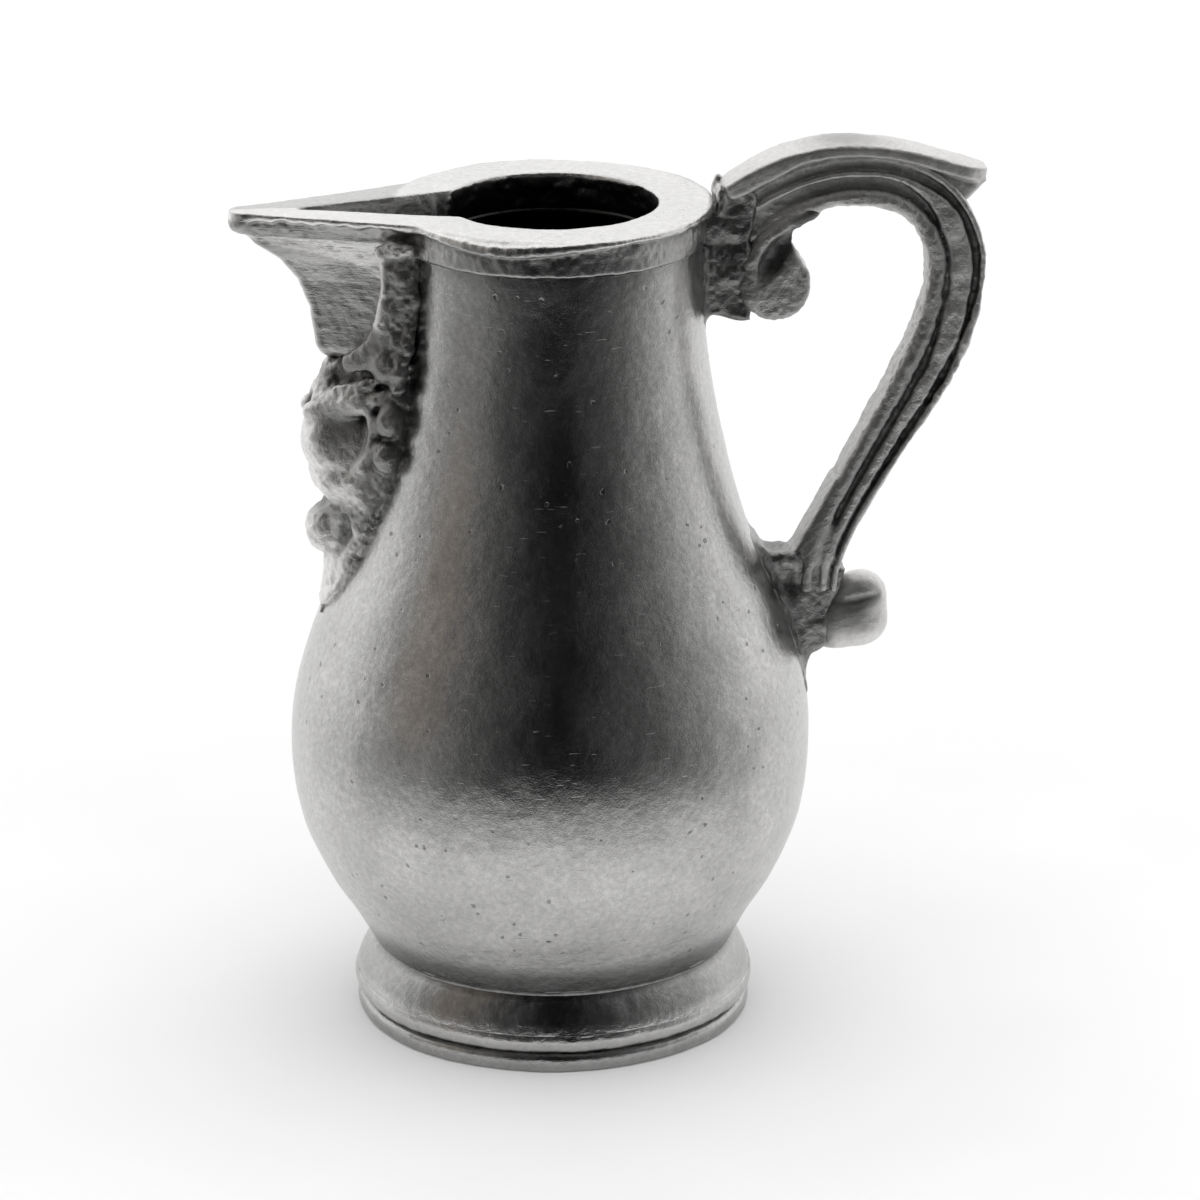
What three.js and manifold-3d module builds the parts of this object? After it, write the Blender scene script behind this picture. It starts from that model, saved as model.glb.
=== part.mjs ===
// A pear-shaped cream jug with a long beak spout, a cast drop under the spout, a scroll handle
// and a moulded foot. Millimetres, +Z up. The spout points to -X and the handle to +X.
// The jug stands on z = 0, and the frame's origin is under the middle of its overall length.
import * as THREE from "three";
import { mergeVertices } from "three/addons/utils/BufferGeometryUtils.js";
import Module from "manifold-3d";

const wasm = await Module();
wasm.setup();

// Driving dimensions.
const AXIS_X = -6.35; // the body's own axis, measured from the middle of the overall length
const GAP = 0.3; // solder gap between a piece and the curved neighbour it is fitted to
const RING_STEPS = 48; // facets round the body, rim and foot

const FOOT_BORE = 16.4;
const BASE_HEIGHT = 2.0;
const BASE_RADIUS = 20.9;
const MOULDING_TOP = 4.2;
const MOULDING_RADIUS = 21.2;
const FLARE_RADIUS = 21.1; // the foot flares out to this, where it meets the moulding
const SEAT_HEIGHT = 8.4; // the body sits on the foot here
const SEAT_RADIUS = 19.3;

const NECK_TOP = 84.6; // the body ends here and the rim collar begins
const NECK_RADIUS = 15.8;
const RIM_HEIGHT = 88.6;
const RIM_RADIUS = 17.0;
const RIM_LIP = 0.7; // thickness of the flat flange's edge
const MOUTH_RADIUS = 10.9;

const HANDLE_WIDTH = 5.4;
const BAR_WIDTH = 4.8;
const SPINE_DEPTH = 0.9;
const SPINE_START = 0.38; // as a share of the centre line's length
const VOLUTE_RADIUS = 3.8;
const VOLUTE_CENTRE = [23.2, 79.1];
const LEAF_HALF_WIDTH = 2.9;
const LEAF_TIP_X = 46;

// The outer side of the body, as [radius, height] from the foot up to the neck.
const BODY_OUTLINE = [
  [SEAT_RADIUS, SEAT_HEIGHT],
  [21.3, 12],
  [24, 16.4],
  [26.5, 22.4],
  [27.4, 29],
  [26.9, 36],
  [24.5, 44],
  [20.8, 53],
  [18.2, 62],
  [16.5, 71],
  [NECK_RADIUS, 79],
  [NECK_RADIUS, NECK_TOP],
];
// The inner side, from the mouth down to the middle of the floor.
const BODY_HOLLOW = [
  [11.2, NECK_TOP],
  [11.5, 78],
  [12.6, 70],
  [14.6, 61],
  [17.4, 52],
  [21.1, 43],
  [23.5, 34],
  [23.6, 26],
  [21.5, 18],
  [17, 12.2],
  [10, 9],
  [0, 8],
];
// The underside, from the middle out to the flat seat.
const BODY_FLOOR = [
  [0, 5.2],
  [8, 5.9],
  [13, 7],
  [16, SEAT_HEIGHT],
];

// The beak's keel: [height, keel x, half width at the neck, half width of the nose].
const BEAK_LEVELS = [
  [72.2, -24, 4.4, 1],
  [74, -24.8, 5, 1.1],
  [78, -25.3, 5.3, 1.1],
  [81, -26.4, 5.5, 1.1],
  [83.2, -28.3, 5.9, 1.2],
  [85, -31, 6.3, 1.4],
  [86.6, -32.4, 6.9, 1.9],
  [RIM_HEIGHT - RIM_LIP, -33.1, 8, 2.4],
  [RIM_HEIGHT, -33.3, 8.2, 2.5],
];
// The pouring channel inside it, in the same terms.
const CHANNEL_LEVELS = [
  [74.5, -15.5, 0.9, 0.3],
  [78, -18, 2.4, 0.3],
  [82, -21, 3.7, 0.3],
  [86, -24.4, 4.9, 0.3],
  [RIM_HEIGHT + 1, -26.8, 5.7, 0.4],
];
const BEAK_ROOT_X = -12; // the beak's outlines start here, inside the neck
const BEAK_SIDE_X = -15.4; // its sides are parallel up to here, where they leave the neck
const CHANNEL_ROOT_X = -9;

// The drop's backplate: [height, half width, thickness over the body].
const LEAF_LEVELS = [
  [45.6, 1.4, 0.4],
  [48, 3.8, 0.8],
  [51, 4.8, 1.8],
  [54, 5, 3.2],
  [57, 5.2, 4.7],
  [60, 6.6, 4.4],
  [64, 7.4, 3.4],
  [68.4, 5.4, 3.4],
];

// The handle's centre line in the XZ plane and its depth there, from the neck over the arch
// to the belly: [x, z, depth].
const HANDLE_LINE = [
  [20.6, 86.6, 5.3],
  [23.6, 88.3, 5.3],
  [27.2, 89.7, 5.3],
  [31.3, 90.3, 5.3],
  [36, 89.6, 5.5],
  [39.9, 87, 5.8],
  [41.9, 83, 6],
  [42.1, 79.2, 6],
  [41.3, 75.2, 5.9],
  [39.7, 70.8, 5.7],
  [37.2, 66.2, 5.4],
  [34.4, 61.4, 4.8],
  [31.7, 56.6, 4.4],
  [29.6, 52.4, 4.2],
  [28.5, 49.4, 4.1],
];

const points2 = (rows) => rows.map(([x, y]) => new THREE.Vector2(x, y));

// Catmull-Rom points through the rows, used for every smooth outline.
const smooth = (rows, steps) => new THREE.SplineCurve(points2(rows)).getPoints(steps);

function metal(color, roughness) {
  return new THREE.MeshStandardMaterial({ color, roughness, metalness: 1 });
}

// ---- Solids ----

function toSolid(geometry) {
  const bare = geometry.clone();
  bare.deleteAttribute("normal");
  bare.deleteAttribute("uv");
  const merged = mergeVertices(bare, 1e-4);
  const index = merged.index.array;
  const triangles = [];
  for (let i = 0; i < index.length; i += 3) {
    const [a, b, c] = index.slice(i, i + 3);
    if (a !== b && b !== c && c !== a) {
      triangles.push(a, b, c);
    }
  }
  return new wasm.Manifold(
    new wasm.Mesh({
      numProp: 3,
      vertProperties: Float32Array.from(merged.attributes.position.array),
      triVerts: Uint32Array.from(triangles),
    }),
  );
}

function toGeometry(solid) {
  const mesh = solid.getMesh();
  const geometry = new THREE.BufferGeometry();
  geometry.setAttribute("position", new THREE.BufferAttribute(mesh.vertProperties, 3));
  geometry.setIndex(new THREE.BufferAttribute(mesh.triVerts, 1));
  geometry.computeVertexNormals();
  return geometry;
}

// A profile of [radius, height] points turned about the Z axis.
function turned(profile) {
  return new THREE.LatheGeometry(profile, RING_STEPS).rotateX(Math.PI / 2);
}

// A ring's profile closes on itself.
const ring = (profile) => turned([...profile, profile[0].clone()]);

// A side outline in XZ made `width` wide across Y.
function slab(outline, width) {
  const options = { depth: width, bevelEnabled: false, curveSegments: 6 };
  const flat = new THREE.ExtrudeGeometry(outline, options).translate(0, 0, -width / 2);
  return flat.rotateX(Math.PI / 2);
}

// A solid through horizontal outlines, given from the bottom up, each anticlockwise.
function stacked(levels) {
  const count = levels[0].outline.length;
  const positions = levels.flatMap(({ z, outline }) => outline.flatMap((p) => [p.x, p.y, z]));
  const index = [];
  for (let level = 0; level < levels.length - 1; level++) {
    for (let i = 0; i < count; i++) {
      const a = level * count + i;
      const b = level * count + ((i + 1) % count);
      index.push(a, b, b + count, a, b + count, a + count);
    }
  }
  const top = (levels.length - 1) * count;
  for (const [a, b, c] of THREE.ShapeUtils.triangulateShape(levels[0].outline, [])) {
    index.push(a, c, b);
  }
  for (const [a, b, c] of THREE.ShapeUtils.triangulateShape(levels.at(-1).outline, [])) {
    index.push(top + a, top + b, top + c);
  }
  const geometry = new THREE.BufferGeometry();
  geometry.setAttribute("position", new THREE.Float32BufferAttribute(positions, 3));
  geometry.setIndex(index);
  return geometry;
}

// ---- Outlines shared by more than one piece ----

const bodySide = smooth(BODY_OUTLINE, 26);

// The body's outer radius at a height, read off the same facets that the body has.
function bodyRadius(z) {
  const next = Math.max(1, bodySide.findIndex((p) => p.y >= z));
  const [low, high] = [bodySide[next - 1], bodySide[next]];
  return THREE.MathUtils.mapLinear(z, low.y, high.y, low.x, high.x);
}

// The body, neck and rim as one plain solid, grown outward, to fit other pieces against.
function vesselCutter(grow) {
  const rimFoot = NECK_TOP - grow;
  const side = bodySide.filter((p) => p.y < rimFoot).map((p) => new THREE.Vector2(p.x + grow, p.y));
  const bottom = new THREE.Vector2(0, SEAT_HEIGHT);
  const rim = points2([
    [NECK_RADIUS + grow, rimFoot],
    [RIM_RADIUS - 0.9 + grow, rimFoot],
    [RIM_RADIUS - 0.9 + grow, RIM_HEIGHT - 2.2],
    [RIM_RADIUS + grow, RIM_HEIGHT - RIM_LIP - grow],
    [RIM_RADIUS + grow, RIM_HEIGHT + grow],
    [0, RIM_HEIGHT + grow],
  ]);
  return toSolid(turned([bottom, ...side, ...rim]));
}

// A horizontal cut of the beak: straight sides that run from the neck to a rounded nose.
function beakOutline(rootX, keelX, halfWidth, noseWidth) {
  const noseX = keelX + noseWidth * 0.8;
  const half = [
    [rootX, halfWidth],
    [BEAK_SIDE_X, halfWidth],
    [(BEAK_SIDE_X + noseX) / 2, (halfWidth + noseWidth) / 2 - 0.15],
    [noseX, noseWidth],
    [keelX + noseWidth * 0.18, noseWidth * 0.55],
  ];
  const mirrored = half.map(([x, y]) => [x, -y]).reverse();
  return points2([...half, [keelX, 0], ...mirrored]);
}

function beakStack(levels, rootX, grow) {
  return stacked(
    levels.map(([z, keelX, halfWidth, nose]) => ({
      z,
      outline: beakOutline(rootX, keelX - grow, halfWidth + grow, nose + grow),
    })),
  );
}

// The open channel from the mouth to the beak's point.
const channel = toSolid(beakStack(CHANNEL_LEVELS, CHANNEL_ROOT_X, 0));
const beakCutter = toSolid(beakStack(BEAK_LEVELS, BEAK_ROOT_X, GAP));

// ---- Body and rim ----

function makeBody() {
  const hollow = smooth(BODY_HOLLOW, 16);
  const floor = smooth(BODY_FLOOR, 4);
  const shell = toSolid(turned([...floor, ...bodySide, ...hollow]));
  return toGeometry(shell.subtract(channel));
}

function makeRimCollar() {
  const bandRadius = RIM_RADIUS - 1;
  const profile = points2([
    [MOUTH_RADIUS, NECK_TOP],
    [bandRadius, NECK_TOP],
    [bandRadius, NECK_TOP + 2.1],
    [bandRadius + 0.35, RIM_HEIGHT - 1.2],
    [RIM_RADIUS, RIM_HEIGHT - RIM_LIP],
    [RIM_RADIUS, RIM_HEIGHT],
    [MOUTH_RADIUS, RIM_HEIGHT],
  ]);
  return toGeometry(toSolid(ring(profile)).subtract(channel));
}

// ---- Spout and drop ----

function makeSpout() {
  const beak = toSolid(beakStack(BEAK_LEVELS, BEAK_ROOT_X, 0));
  return toGeometry(beak.subtract(vesselCutter(GAP)).subtract(channel));
}

const neckLevels = [
  [68.8, -24.2, 4.2, 1.6],
  [70.2, -24.8, 4.8, 1.8],
  [71.9, -23.8, 4.3, 1.3],
];

function makeDropNeck() {
  const block = toSolid(beakStack(neckLevels, BEAK_ROOT_X, 0));
  return toGeometry(block.subtract(vesselCutter(GAP)));
}

const STRAP_RADIUS = 1.3;

// A rough strap soldered over the joint between the beak and the neck. side: -1 front, 1 back.
function makeSeamStrap(side) {
  const route = [
    [-16.9, 6.7, 84.3],
    [-16.9, 6.1, 80.5],
    [-17, 5.9, 77],
    [-18.2, 5.5, 74.4],
    [-20.8, 4.1, 73],
    [-23.4, 1.9, 72.6],
  ];
  const curve = new THREE.CatmullRomCurve3(
    route.map(([x, y, z]) => new THREE.Vector3(x, side * y, z)),
  );
  const section = new THREE.Shape().absarc(0, 0, STRAP_RADIUS, 0, 2 * Math.PI);
  const options = { extrudePath: curve, steps: 12, curveSegments: 5 };
  const strap = toSolid(new THREE.ExtrudeGeometry(section, options));
  const neckCutter = toSolid(beakStack(neckLevels, BEAK_ROOT_X, GAP));
  return toGeometry(strap.subtract(vesselCutter(GAP)).subtract(beakCutter).subtract(neckCutter));
}

// The backplate follows the body's own curve, GAP away from it.
function leafStack(grow) {
  const steps = 8;
  const arc = (radiusAt, spread) =>
    Array.from({ length: steps + 1 }, (_, i) => {
      const turn = spread * ((2 * i) / steps - 1);
      return new THREE.Vector2(-radiusAt(turn) * Math.cos(turn), -radiusAt(turn) * Math.sin(turn));
    });
  const levels = LEAF_LEVELS.map(([z, halfWidth, thickness]) => {
    const radius = bodyRadius(z) + GAP;
    const spread = (halfWidth + grow) / radius;
    const crown = (turn) => radius + grow + thickness * Math.cos((turn / spread) * 1.3);
    const inner = arc(() => radius - 3 * grow, spread);
    return { z, outline: [...arc(crown, spread), ...inner.reverse()] };
  });
  return stacked(levels);
}

// An egg-shaped boss fitted over the backplate.
function egg(centre, radii, tilt) {
  return new THREE.SphereGeometry(1, 16, 10)
    .scale(...radii)
    .rotateY(tilt)
    .translate(...centre);
}

function onLeaf(geometry, ...neighbours) {
  const base = toSolid(geometry).subtract(vesselCutter(GAP)).subtract(toSolid(leafStack(GAP)));
  return toGeometry(neighbours.reduce((solid, other) => solid.subtract(other), base));
}

const SHELL_CENTRE = [-20.9, 0, 63.6];
const SHELL_RADII = [5.3, 5.2, 4.9];
const SHELL_TILT = 0.1; // radians about Y, so that each boss leans with the body's side
const LOBE_TILT = 0.15;
const BUD_TILT = 0.2;
const shellCutter = toSolid(
  egg(SHELL_CENTRE, SHELL_RADII.map((r) => r + GAP), SHELL_TILT),
);

const makeDropShell = () => onLeaf(egg(SHELL_CENTRE, SHELL_RADII, SHELL_TILT));

// side: -1 front, 1 back.
function makeDropLobe(side) {
  return onLeaf(egg([-18.2, side * 6.2, 65], [2.2, 2.3, 3], LOBE_TILT), shellCutter);
}

function makeDropBud() {
  return onLeaf(egg([-23.6, 0, 54.3], [2.2, 2.4, 2.6], BUD_TILT), shellCutter);
}

// ---- Handle ----

// A line beside the handle's centre line, from one place along it to its lower end. `beside`
// gives the distance outward (away from the finger gap) for a depth; the line's ends are made
// longer by `reach`.
function handleSide(beside, first, reach) {
  const line = new THREE.CatmullRomCurve3(HANDLE_LINE.map((row) => new THREE.Vector3(...row)));
  const count = 32;
  return Array.from({ length: count + 1 }, (_, i) => {
    const place = first + ((1 - first) * i) / count;
    const { x, y, z: depth } = line.getPointAt(place);
    const tangent = line.getTangentAt(place);
    const along = new THREE.Vector2(tangent.x, tangent.y).normalize();
    const out = new THREE.Vector2(-along.y, along.x);
    const end = i === 0 ? -reach : i === count ? reach : 0;
    return new THREE.Vector2(x, y).addScaledVector(out, beside(depth)).addScaledVector(along, end);
  });
}

// The part of the handle between two side lines, as a slab.
function handleSlab(inside, outside, first, width, grow) {
  const inner = handleSide((depth) => inside(depth) - grow, first, grow);
  const outer = handleSide((depth) => outside(depth) + grow, first, grow);
  return slab(new THREE.Shape([...inner, ...outer.reverse()]), width + 2 * grow);
}

const backOf = (depth) => depth / 2 - SPINE_DEPTH;

function handleBar(grow) {
  return handleSlab((depth) => -depth / 2, (depth) => backOf(depth) - GAP / 2, 0, BAR_WIDTH, grow);
}

// The flat back flange that runs from under the thumb leaf down to the belly.
function handleSpine(grow) {
  return handleSlab(backOf, (depth) => depth / 2, SPINE_START, HANDLE_WIDTH, grow);
}

const barCutter = toSolid(handleBar(GAP));
const spineCutter = toSolid(handleSpine(GAP));

// The leaf is a thin arched band, cut in plan to a point where the thumb rests.
function makeThumbLeaf() {
  const top = new THREE.SplineCurve(
    points2([[18.2, 90.3], [21, 92], [25.5, 93.8], [30.5, 94.3], [36, 93.7], [41, 92.3], [LEAF_TIP_X, 90.6]]),
  );
  const side = new THREE.Shape(top.getPoints(18));
  side.lineTo(44.2, 88.4);
  side.lineTo(42.6, 89.6);
  side.splineThru(
    points2([[40, 90.8], [36, 92.1], [30.5, 92.8], [25.5, 92.2], [21.4, 90.8], [18.6, 89.4]]),
  );
  const nearEdge = [[17, -2.4], [24, -LEAF_HALF_WIDTH], [40, -LEAF_HALF_WIDTH], [43.8, -2.3]];
  const farEdge = nearEdge.map(([x, y]) => [x, -y]).reverse();
  const plan = new THREE.Shape(points2([...nearEdge, [LEAF_TIP_X, 0], ...farEdge]));
  const planSlab = new THREE.ExtrudeGeometry(plan, { depth: 12, bevelEnabled: false });
  const leaf = toSolid(slab(side, 8)).intersect(toSolid(planSlab.translate(0, 0, 84)));
  return toGeometry(leaf.subtract(vesselCutter(GAP)).subtract(barCutter));
}

function makeBossUpper() {
  const outline = new THREE.Shape(
    points2([
      [14, 76], [17.8, 75.6], [19, 76.4], [19, 82.4], [19.9, 84.4], [20.2, 88.9],
      [18.4, 89], [16.9, 89.8], [14, 89.8],
    ]),
  );
  const block = toSolid(slab(outline, HANDLE_WIDTH));
  return toGeometry(block.subtract(vesselCutter(GAP)).subtract(barCutter));
}

// A rolled end: a round drum with a short stem that rises to the bar.
function makeVoluteUpper() {
  const [x, z] = VOLUTE_CENTRE;
  const outline = new THREE.Shape();
  outline.moveTo(22.4, 86);
  outline.quadraticCurveTo(20, 83, x - VOLUTE_RADIUS, z);
  outline.absarc(x, z, VOLUTE_RADIUS, Math.PI, Math.PI * 2.36, false);
  outline.quadraticCurveTo(25.2, 84, 28.6, 87.4);
  const drum = toSolid(slab(outline, HANDLE_WIDTH));
  const hollow = new THREE.CylinderGeometry(1.3, 1.3, 8, 16).translate(x - 0.4, 0, z + 0.4);
  return toGeometry(drum.subtract(toSolid(hollow)).subtract(barCutter));
}

const BUD_CENTRE = [32.3, 0, 42.9];
const BUD_RADII = [3.5, HANDLE_WIDTH / 2, 3.9];

function makeVoluteLower() {
  return egg(BUD_CENTRE, BUD_RADII, 0);
}

function makeBracketLower() {
  const outline = new THREE.Shape(
    points2([
      [20, 49.8], [24.2, 49.5], [26, 50.2], [27.2, 49.2], [31.2, 48.4], [31, 46.9],
      [29.6, 44.2], [29.7, 40.8], [29.2, 39.4], [27.2, 38.2], [26, 36.2], [22, 36.2],
    ]),
  );
  const budCutter = toSolid(egg(BUD_CENTRE, BUD_RADII.map((r) => r + GAP), 0));
  return toGeometry(
    toSolid(slab(outline, HANDLE_WIDTH))
      .subtract(vesselCutter(GAP))
      .subtract(budCutter)
      .subtract(barCutter)
      .subtract(spineCutter),
  );
}

// ---- Foot ----

// The foot flares down from the body's seat in one soft curve.
function makeFootCove() {
  const flare = smooth(
    [[FLARE_RADIUS, MOULDING_TOP], [20.8, 5.2], [20.2, 6.4], [19.5, 7.4], [SEAT_RADIUS, 8]],
    7,
  );
  const inner = points2([
    [SEAT_RADIUS, SEAT_HEIGHT],
    [FOOT_BORE, SEAT_HEIGHT],
    [FOOT_BORE, MOULDING_TOP],
  ]);
  return ring([...flare, ...inner]);
}

function makeFootMoulding() {
  const round = smooth(
    [[20.6, BASE_HEIGHT], [MOULDING_RADIUS, 2.7], [MOULDING_RADIUS, 3.4], [FLARE_RADIUS, MOULDING_TOP]],
    8,
  );
  return ring([...round, ...points2([[FOOT_BORE, MOULDING_TOP], [FOOT_BORE, BASE_HEIGHT]])]);
}

function makeFootBaseWire() {
  const profile = [
    [FOOT_BORE, 0], [BASE_RADIUS - 0.3, 0], [BASE_RADIUS, 0.3],
    [BASE_RADIUS, BASE_HEIGHT - 0.5], [BASE_RADIUS - 0.6, BASE_HEIGHT], [FOOT_BORE, BASE_HEIGHT],
  ];
  return ring(points2(profile));
}

// ---- The jug ----

const jug = new THREE.Group();
jug.position.x = AXIS_X;

function add(name, geometry, material) {
  const mesh = new THREE.Mesh(geometry, material);
  mesh.name = name;
  jug.add(mesh);
}

add("body", makeBody(), metal(0xa3a29f, 0.34));
add("rim_collar", makeRimCollar(), metal(0xc4c3c0, 0.28));
add("spout", makeSpout(), metal(0xb0afac, 0.42));
add("spout_strap_front", makeSeamStrap(-1), metal(0x8e8d8a, 0.5));
add("spout_strap_back", makeSeamStrap(1), metal(0x8e8d8a, 0.5));
add("drop_neck", makeDropNeck(), metal(0x999895, 0.48));
add("drop_leaf", toGeometry(toSolid(leafStack(0))), metal(0x8a8986, 0.5));
add("drop_shell", makeDropShell(), metal(0xa09f9c, 0.45));
add("drop_lobe_front", makeDropLobe(-1), metal(0x7c7b78, 0.52));
add("drop_lobe_back", makeDropLobe(1), metal(0x7c7b78, 0.52));
add("drop_bud", makeDropBud(), metal(0xa9a8a5, 0.45));
add("handle_boss_upper", makeBossUpper(), metal(0x95948f, 0.46));
add("handle_bar", handleBar(0), metal(0x9c9b97, 0.44));
add("handle_spine", handleSpine(0), metal(0xadaca8, 0.4));
add("thumb_leaf", makeThumbLeaf(), metal(0xbdbcb8, 0.36));
add("handle_volute_upper", makeVoluteUpper(), metal(0x94938f, 0.46));
add("handle_bracket_lower", makeBracketLower(), metal(0x94938f, 0.46));
add("handle_volute_lower", makeVoluteLower(), metal(0xa8a7a3, 0.42));
add("foot_cove", makeFootCove(), metal(0x8b8a87, 0.4));
add("foot_moulding", makeFootMoulding(), metal(0xb1b0ad, 0.34));
add("foot_base_wire", makeFootBaseWire(), metal(0x9a9996, 0.38));

export default jug;
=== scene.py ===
"""A pear-shaped cream jug in cast metal, on a pale floor in soft studio light.

The fine surfaces are distance fields sampled on a grid and turned into meshes, in millimetres
from the jug's own axis: x toward the handle, -x toward the spout, z up from the floor.
"""
import copy
import math

import bpy
import numpy as np
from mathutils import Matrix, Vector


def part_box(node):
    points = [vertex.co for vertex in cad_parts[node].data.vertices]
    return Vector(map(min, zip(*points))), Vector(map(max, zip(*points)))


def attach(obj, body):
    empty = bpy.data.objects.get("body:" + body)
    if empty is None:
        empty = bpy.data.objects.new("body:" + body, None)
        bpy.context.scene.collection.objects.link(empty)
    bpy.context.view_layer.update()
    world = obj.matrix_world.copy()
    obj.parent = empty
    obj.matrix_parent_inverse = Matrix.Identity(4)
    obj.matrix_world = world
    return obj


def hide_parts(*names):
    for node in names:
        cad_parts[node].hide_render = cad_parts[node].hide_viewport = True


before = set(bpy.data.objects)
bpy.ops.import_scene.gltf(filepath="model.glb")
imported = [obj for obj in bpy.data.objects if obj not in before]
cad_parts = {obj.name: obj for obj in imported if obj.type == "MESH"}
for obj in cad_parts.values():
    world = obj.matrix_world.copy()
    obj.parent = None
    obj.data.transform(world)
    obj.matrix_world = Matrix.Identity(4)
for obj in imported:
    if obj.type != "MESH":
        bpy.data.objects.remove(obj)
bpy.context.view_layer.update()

MM = 0.001
foot_low, foot_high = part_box("foot_base_wire")
AXIS_X = (foot_low.x + foot_high.x) / 2 / MM
RIM_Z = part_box("rim_collar")[1].z / MM
NECK_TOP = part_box("body")[1].z / MM


# ---- Numbers shared by the shapes ----

# The body's outer side, its hollow and its underside, as (radius, height).
BODY_OUTLINE = [
    (19.3, 8.4), (21.3, 12), (24, 16.4), (26.5, 22.4), (27.4, 29), (26.9, 36), (24.5, 44),
    (20.8, 53), (18.2, 62), (16.5, 71), (15.8, 79), (15.8, 84.6),
]
BODY_HOLLOW = [
    (11.2, 84.6), (11.5, 78), (12.6, 70), (14.6, 61), (17.4, 52), (21.1, 43), (23.5, 34),
    (23.6, 26), (21.5, 18), (17, 12.2), (10, 9), (0, 8),
]
BODY_FLOOR = [(0, 5.2), (8, 5.9), (13, 7), (16, 8.4)]

# The handle's centre line and depth: (x, z, depth).
HANDLE_LINE = [
    (17.5, 84.2, 5.2), (20.6, 86.5, 5.3), (23.6, 88.2, 5.3), (27.2, 89.6, 5.3),
    (31.3, 90.2, 5.3), (36, 89.5, 5.5), (39.9, 86.9, 5.8), (41.9, 83, 6), (42.1, 79.2, 6),
    (41.3, 75.2, 5.9), (39.7, 70.8, 5.7), (37.2, 66.2, 5.4), (34.4, 61.4, 4.8),
    (31.7, 56.6, 4.4), (29.6, 52.4, 4.2), (28.2, 48.4, 4.1), (27.9, 45.5, 4),
]


def spline(rows, count):
    """Catmull-Rom points through the rows, evenly spread over their spans."""
    rows = np.array(rows, float)
    padded = np.vstack([rows[:1], rows, rows[-1:]])
    places = np.linspace(0, len(rows) - 1, count)
    span = np.minimum(places.astype(int), len(rows) - 2)
    t = (places - span)[:, None]
    p0, p1, p2, p3 = (padded[span + i] for i in range(4))
    v0, v1 = (p2 - p0) / 2, (p3 - p1) / 2
    return (
        (2 * p1 - 2 * p2 + v0 + v1) * t**3
        + (-3 * p1 + 3 * p2 - 2 * v0 - v1) * t**2
        + v0 * t
        + p1
    )


def step_between(value, low, high):
    """0 below low, 1 above high and a soft step between."""
    t = np.clip((value - low) / (high - low), 0, 1)
    return t * t * (3 - 2 * t)


def bell(value, centre, width):
    """1 at the centre, falling off smoothly over the width."""
    return np.exp(-(((value - centre) / width) ** 2))


LINE_POINTS = 320


def directions(points):
    """Unit vectors along a line of points."""
    along = np.gradient(points, axis=0)
    return along / np.linalg.norm(along, axis=1)[:, None]


# ---- Distance fields ----


class Volume:
    """A box of space sampled on a grid."""

    def __init__(self, low, high, step):
        self.low = np.array(low, np.float32)
        self.step = step
        axes = [np.arange(a, b + step, step, dtype=np.float32) for a, b in zip(low, high)]
        self.x, self.y, self.z = np.meshgrid(*axes, indexing="ij", sparse=True)
        self.shape = tuple(len(a) for a in axes)


def join(*fields, blend=0.5):
    """The smooth union of fields; blend is the fillet's size."""
    total = fields[0]
    for field in fields[1:]:
        h = np.maximum(blend - np.abs(total - field), 0) / blend
        total = np.minimum(total, field) - h * h * blend / 4
    return total


def cut(field, tool, blend=0.3):
    """field without tool, with a rounded edge."""
    return -join(-field, tool, blend=blend)


def overlap(*fields, blend=0.3):
    """What all the fields have in common."""
    return -join(*[-field for field in fields], blend=blend)


def egg(v, centre, radii, tilt=0.0):
    """An ellipsoid, tilted about Y."""
    c, s = math.cos(tilt), math.sin(tilt)
    dx, dy, dz = v.x - centre[0], v.y - centre[1], v.z - centre[2]
    a, b = dx * c - dz * s, dx * s + dz * c
    near = np.sqrt((a / radii[0]) ** 2 + (dy / radii[1]) ** 2 + (b / radii[2]) ** 2)
    slope = np.sqrt((a / radii[0] ** 2) ** 2 + (dy / radii[1] ** 2) ** 2 + (b / radii[2] ** 2) ** 2)
    return near * (near - 1) / np.maximum(slope, 1e-6)


def rod(v, start, end, start_radius, end_radius):
    """A round rod that tapers from one radius to the other."""
    start, end = np.array(start, float), np.array(end, float)
    axis = end - start
    dx, dy, dz = v.x - start[0], v.y - start[1], v.z - start[2]
    t = np.clip((dx * axis[0] + dy * axis[1] + dz * axis[2]) / (axis @ axis), 0, 1)
    away = np.sqrt((dx - t * axis[0]) ** 2 + (dy - t * axis[1]) ** 2 + (dz - t * axis[2]) ** 2)
    return away - (start_radius + (end_radius - start_radius) * t)


def rods(v, rows, blend=0.4):
    """A chain of rods through (x, y, z, radius) rows."""
    parts = [rod(v, a[:3], b[:3], a[3], b[3]) for a, b in zip(rows, rows[1:])]
    return join(*parts, blend=blend)


def polygon(v, corners):
    """Signed distance to an outline in the XZ plane, negative inside."""
    px, pz = np.broadcast_arrays(v.x[:, 0, :], v.z[:, 0, :])
    nearest = np.full(px.shape, 1e9, np.float32)
    inside = np.zeros(px.shape, bool)
    for (ax, az), (bx, bz) in zip(corners, corners[1:] + corners[:1]):
        ex, ez = bx - ax, bz - az
        t = np.clip(((px - ax) * ex + (pz - az) * ez) / (ex * ex + ez * ez), 0, 1)
        nearest = np.minimum(nearest, np.hypot(px - ax - t * ex, pz - az - t * ez))
        crosses = (az > pz) != (bz > pz)
        with np.errstate(divide="ignore", invalid="ignore"):
            inside ^= crosses & (px < ax + (pz - az) / (bz - az) * ex)
    return np.where(inside, -nearest, nearest)[:, None, :]


def plate(v, corners, half_width, blend):
    """An outline in the XZ plane, given thickness along Y and rounded edges."""
    return overlap(polygon(v, corners), np.abs(v.y) - half_width, blend=blend)


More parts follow.
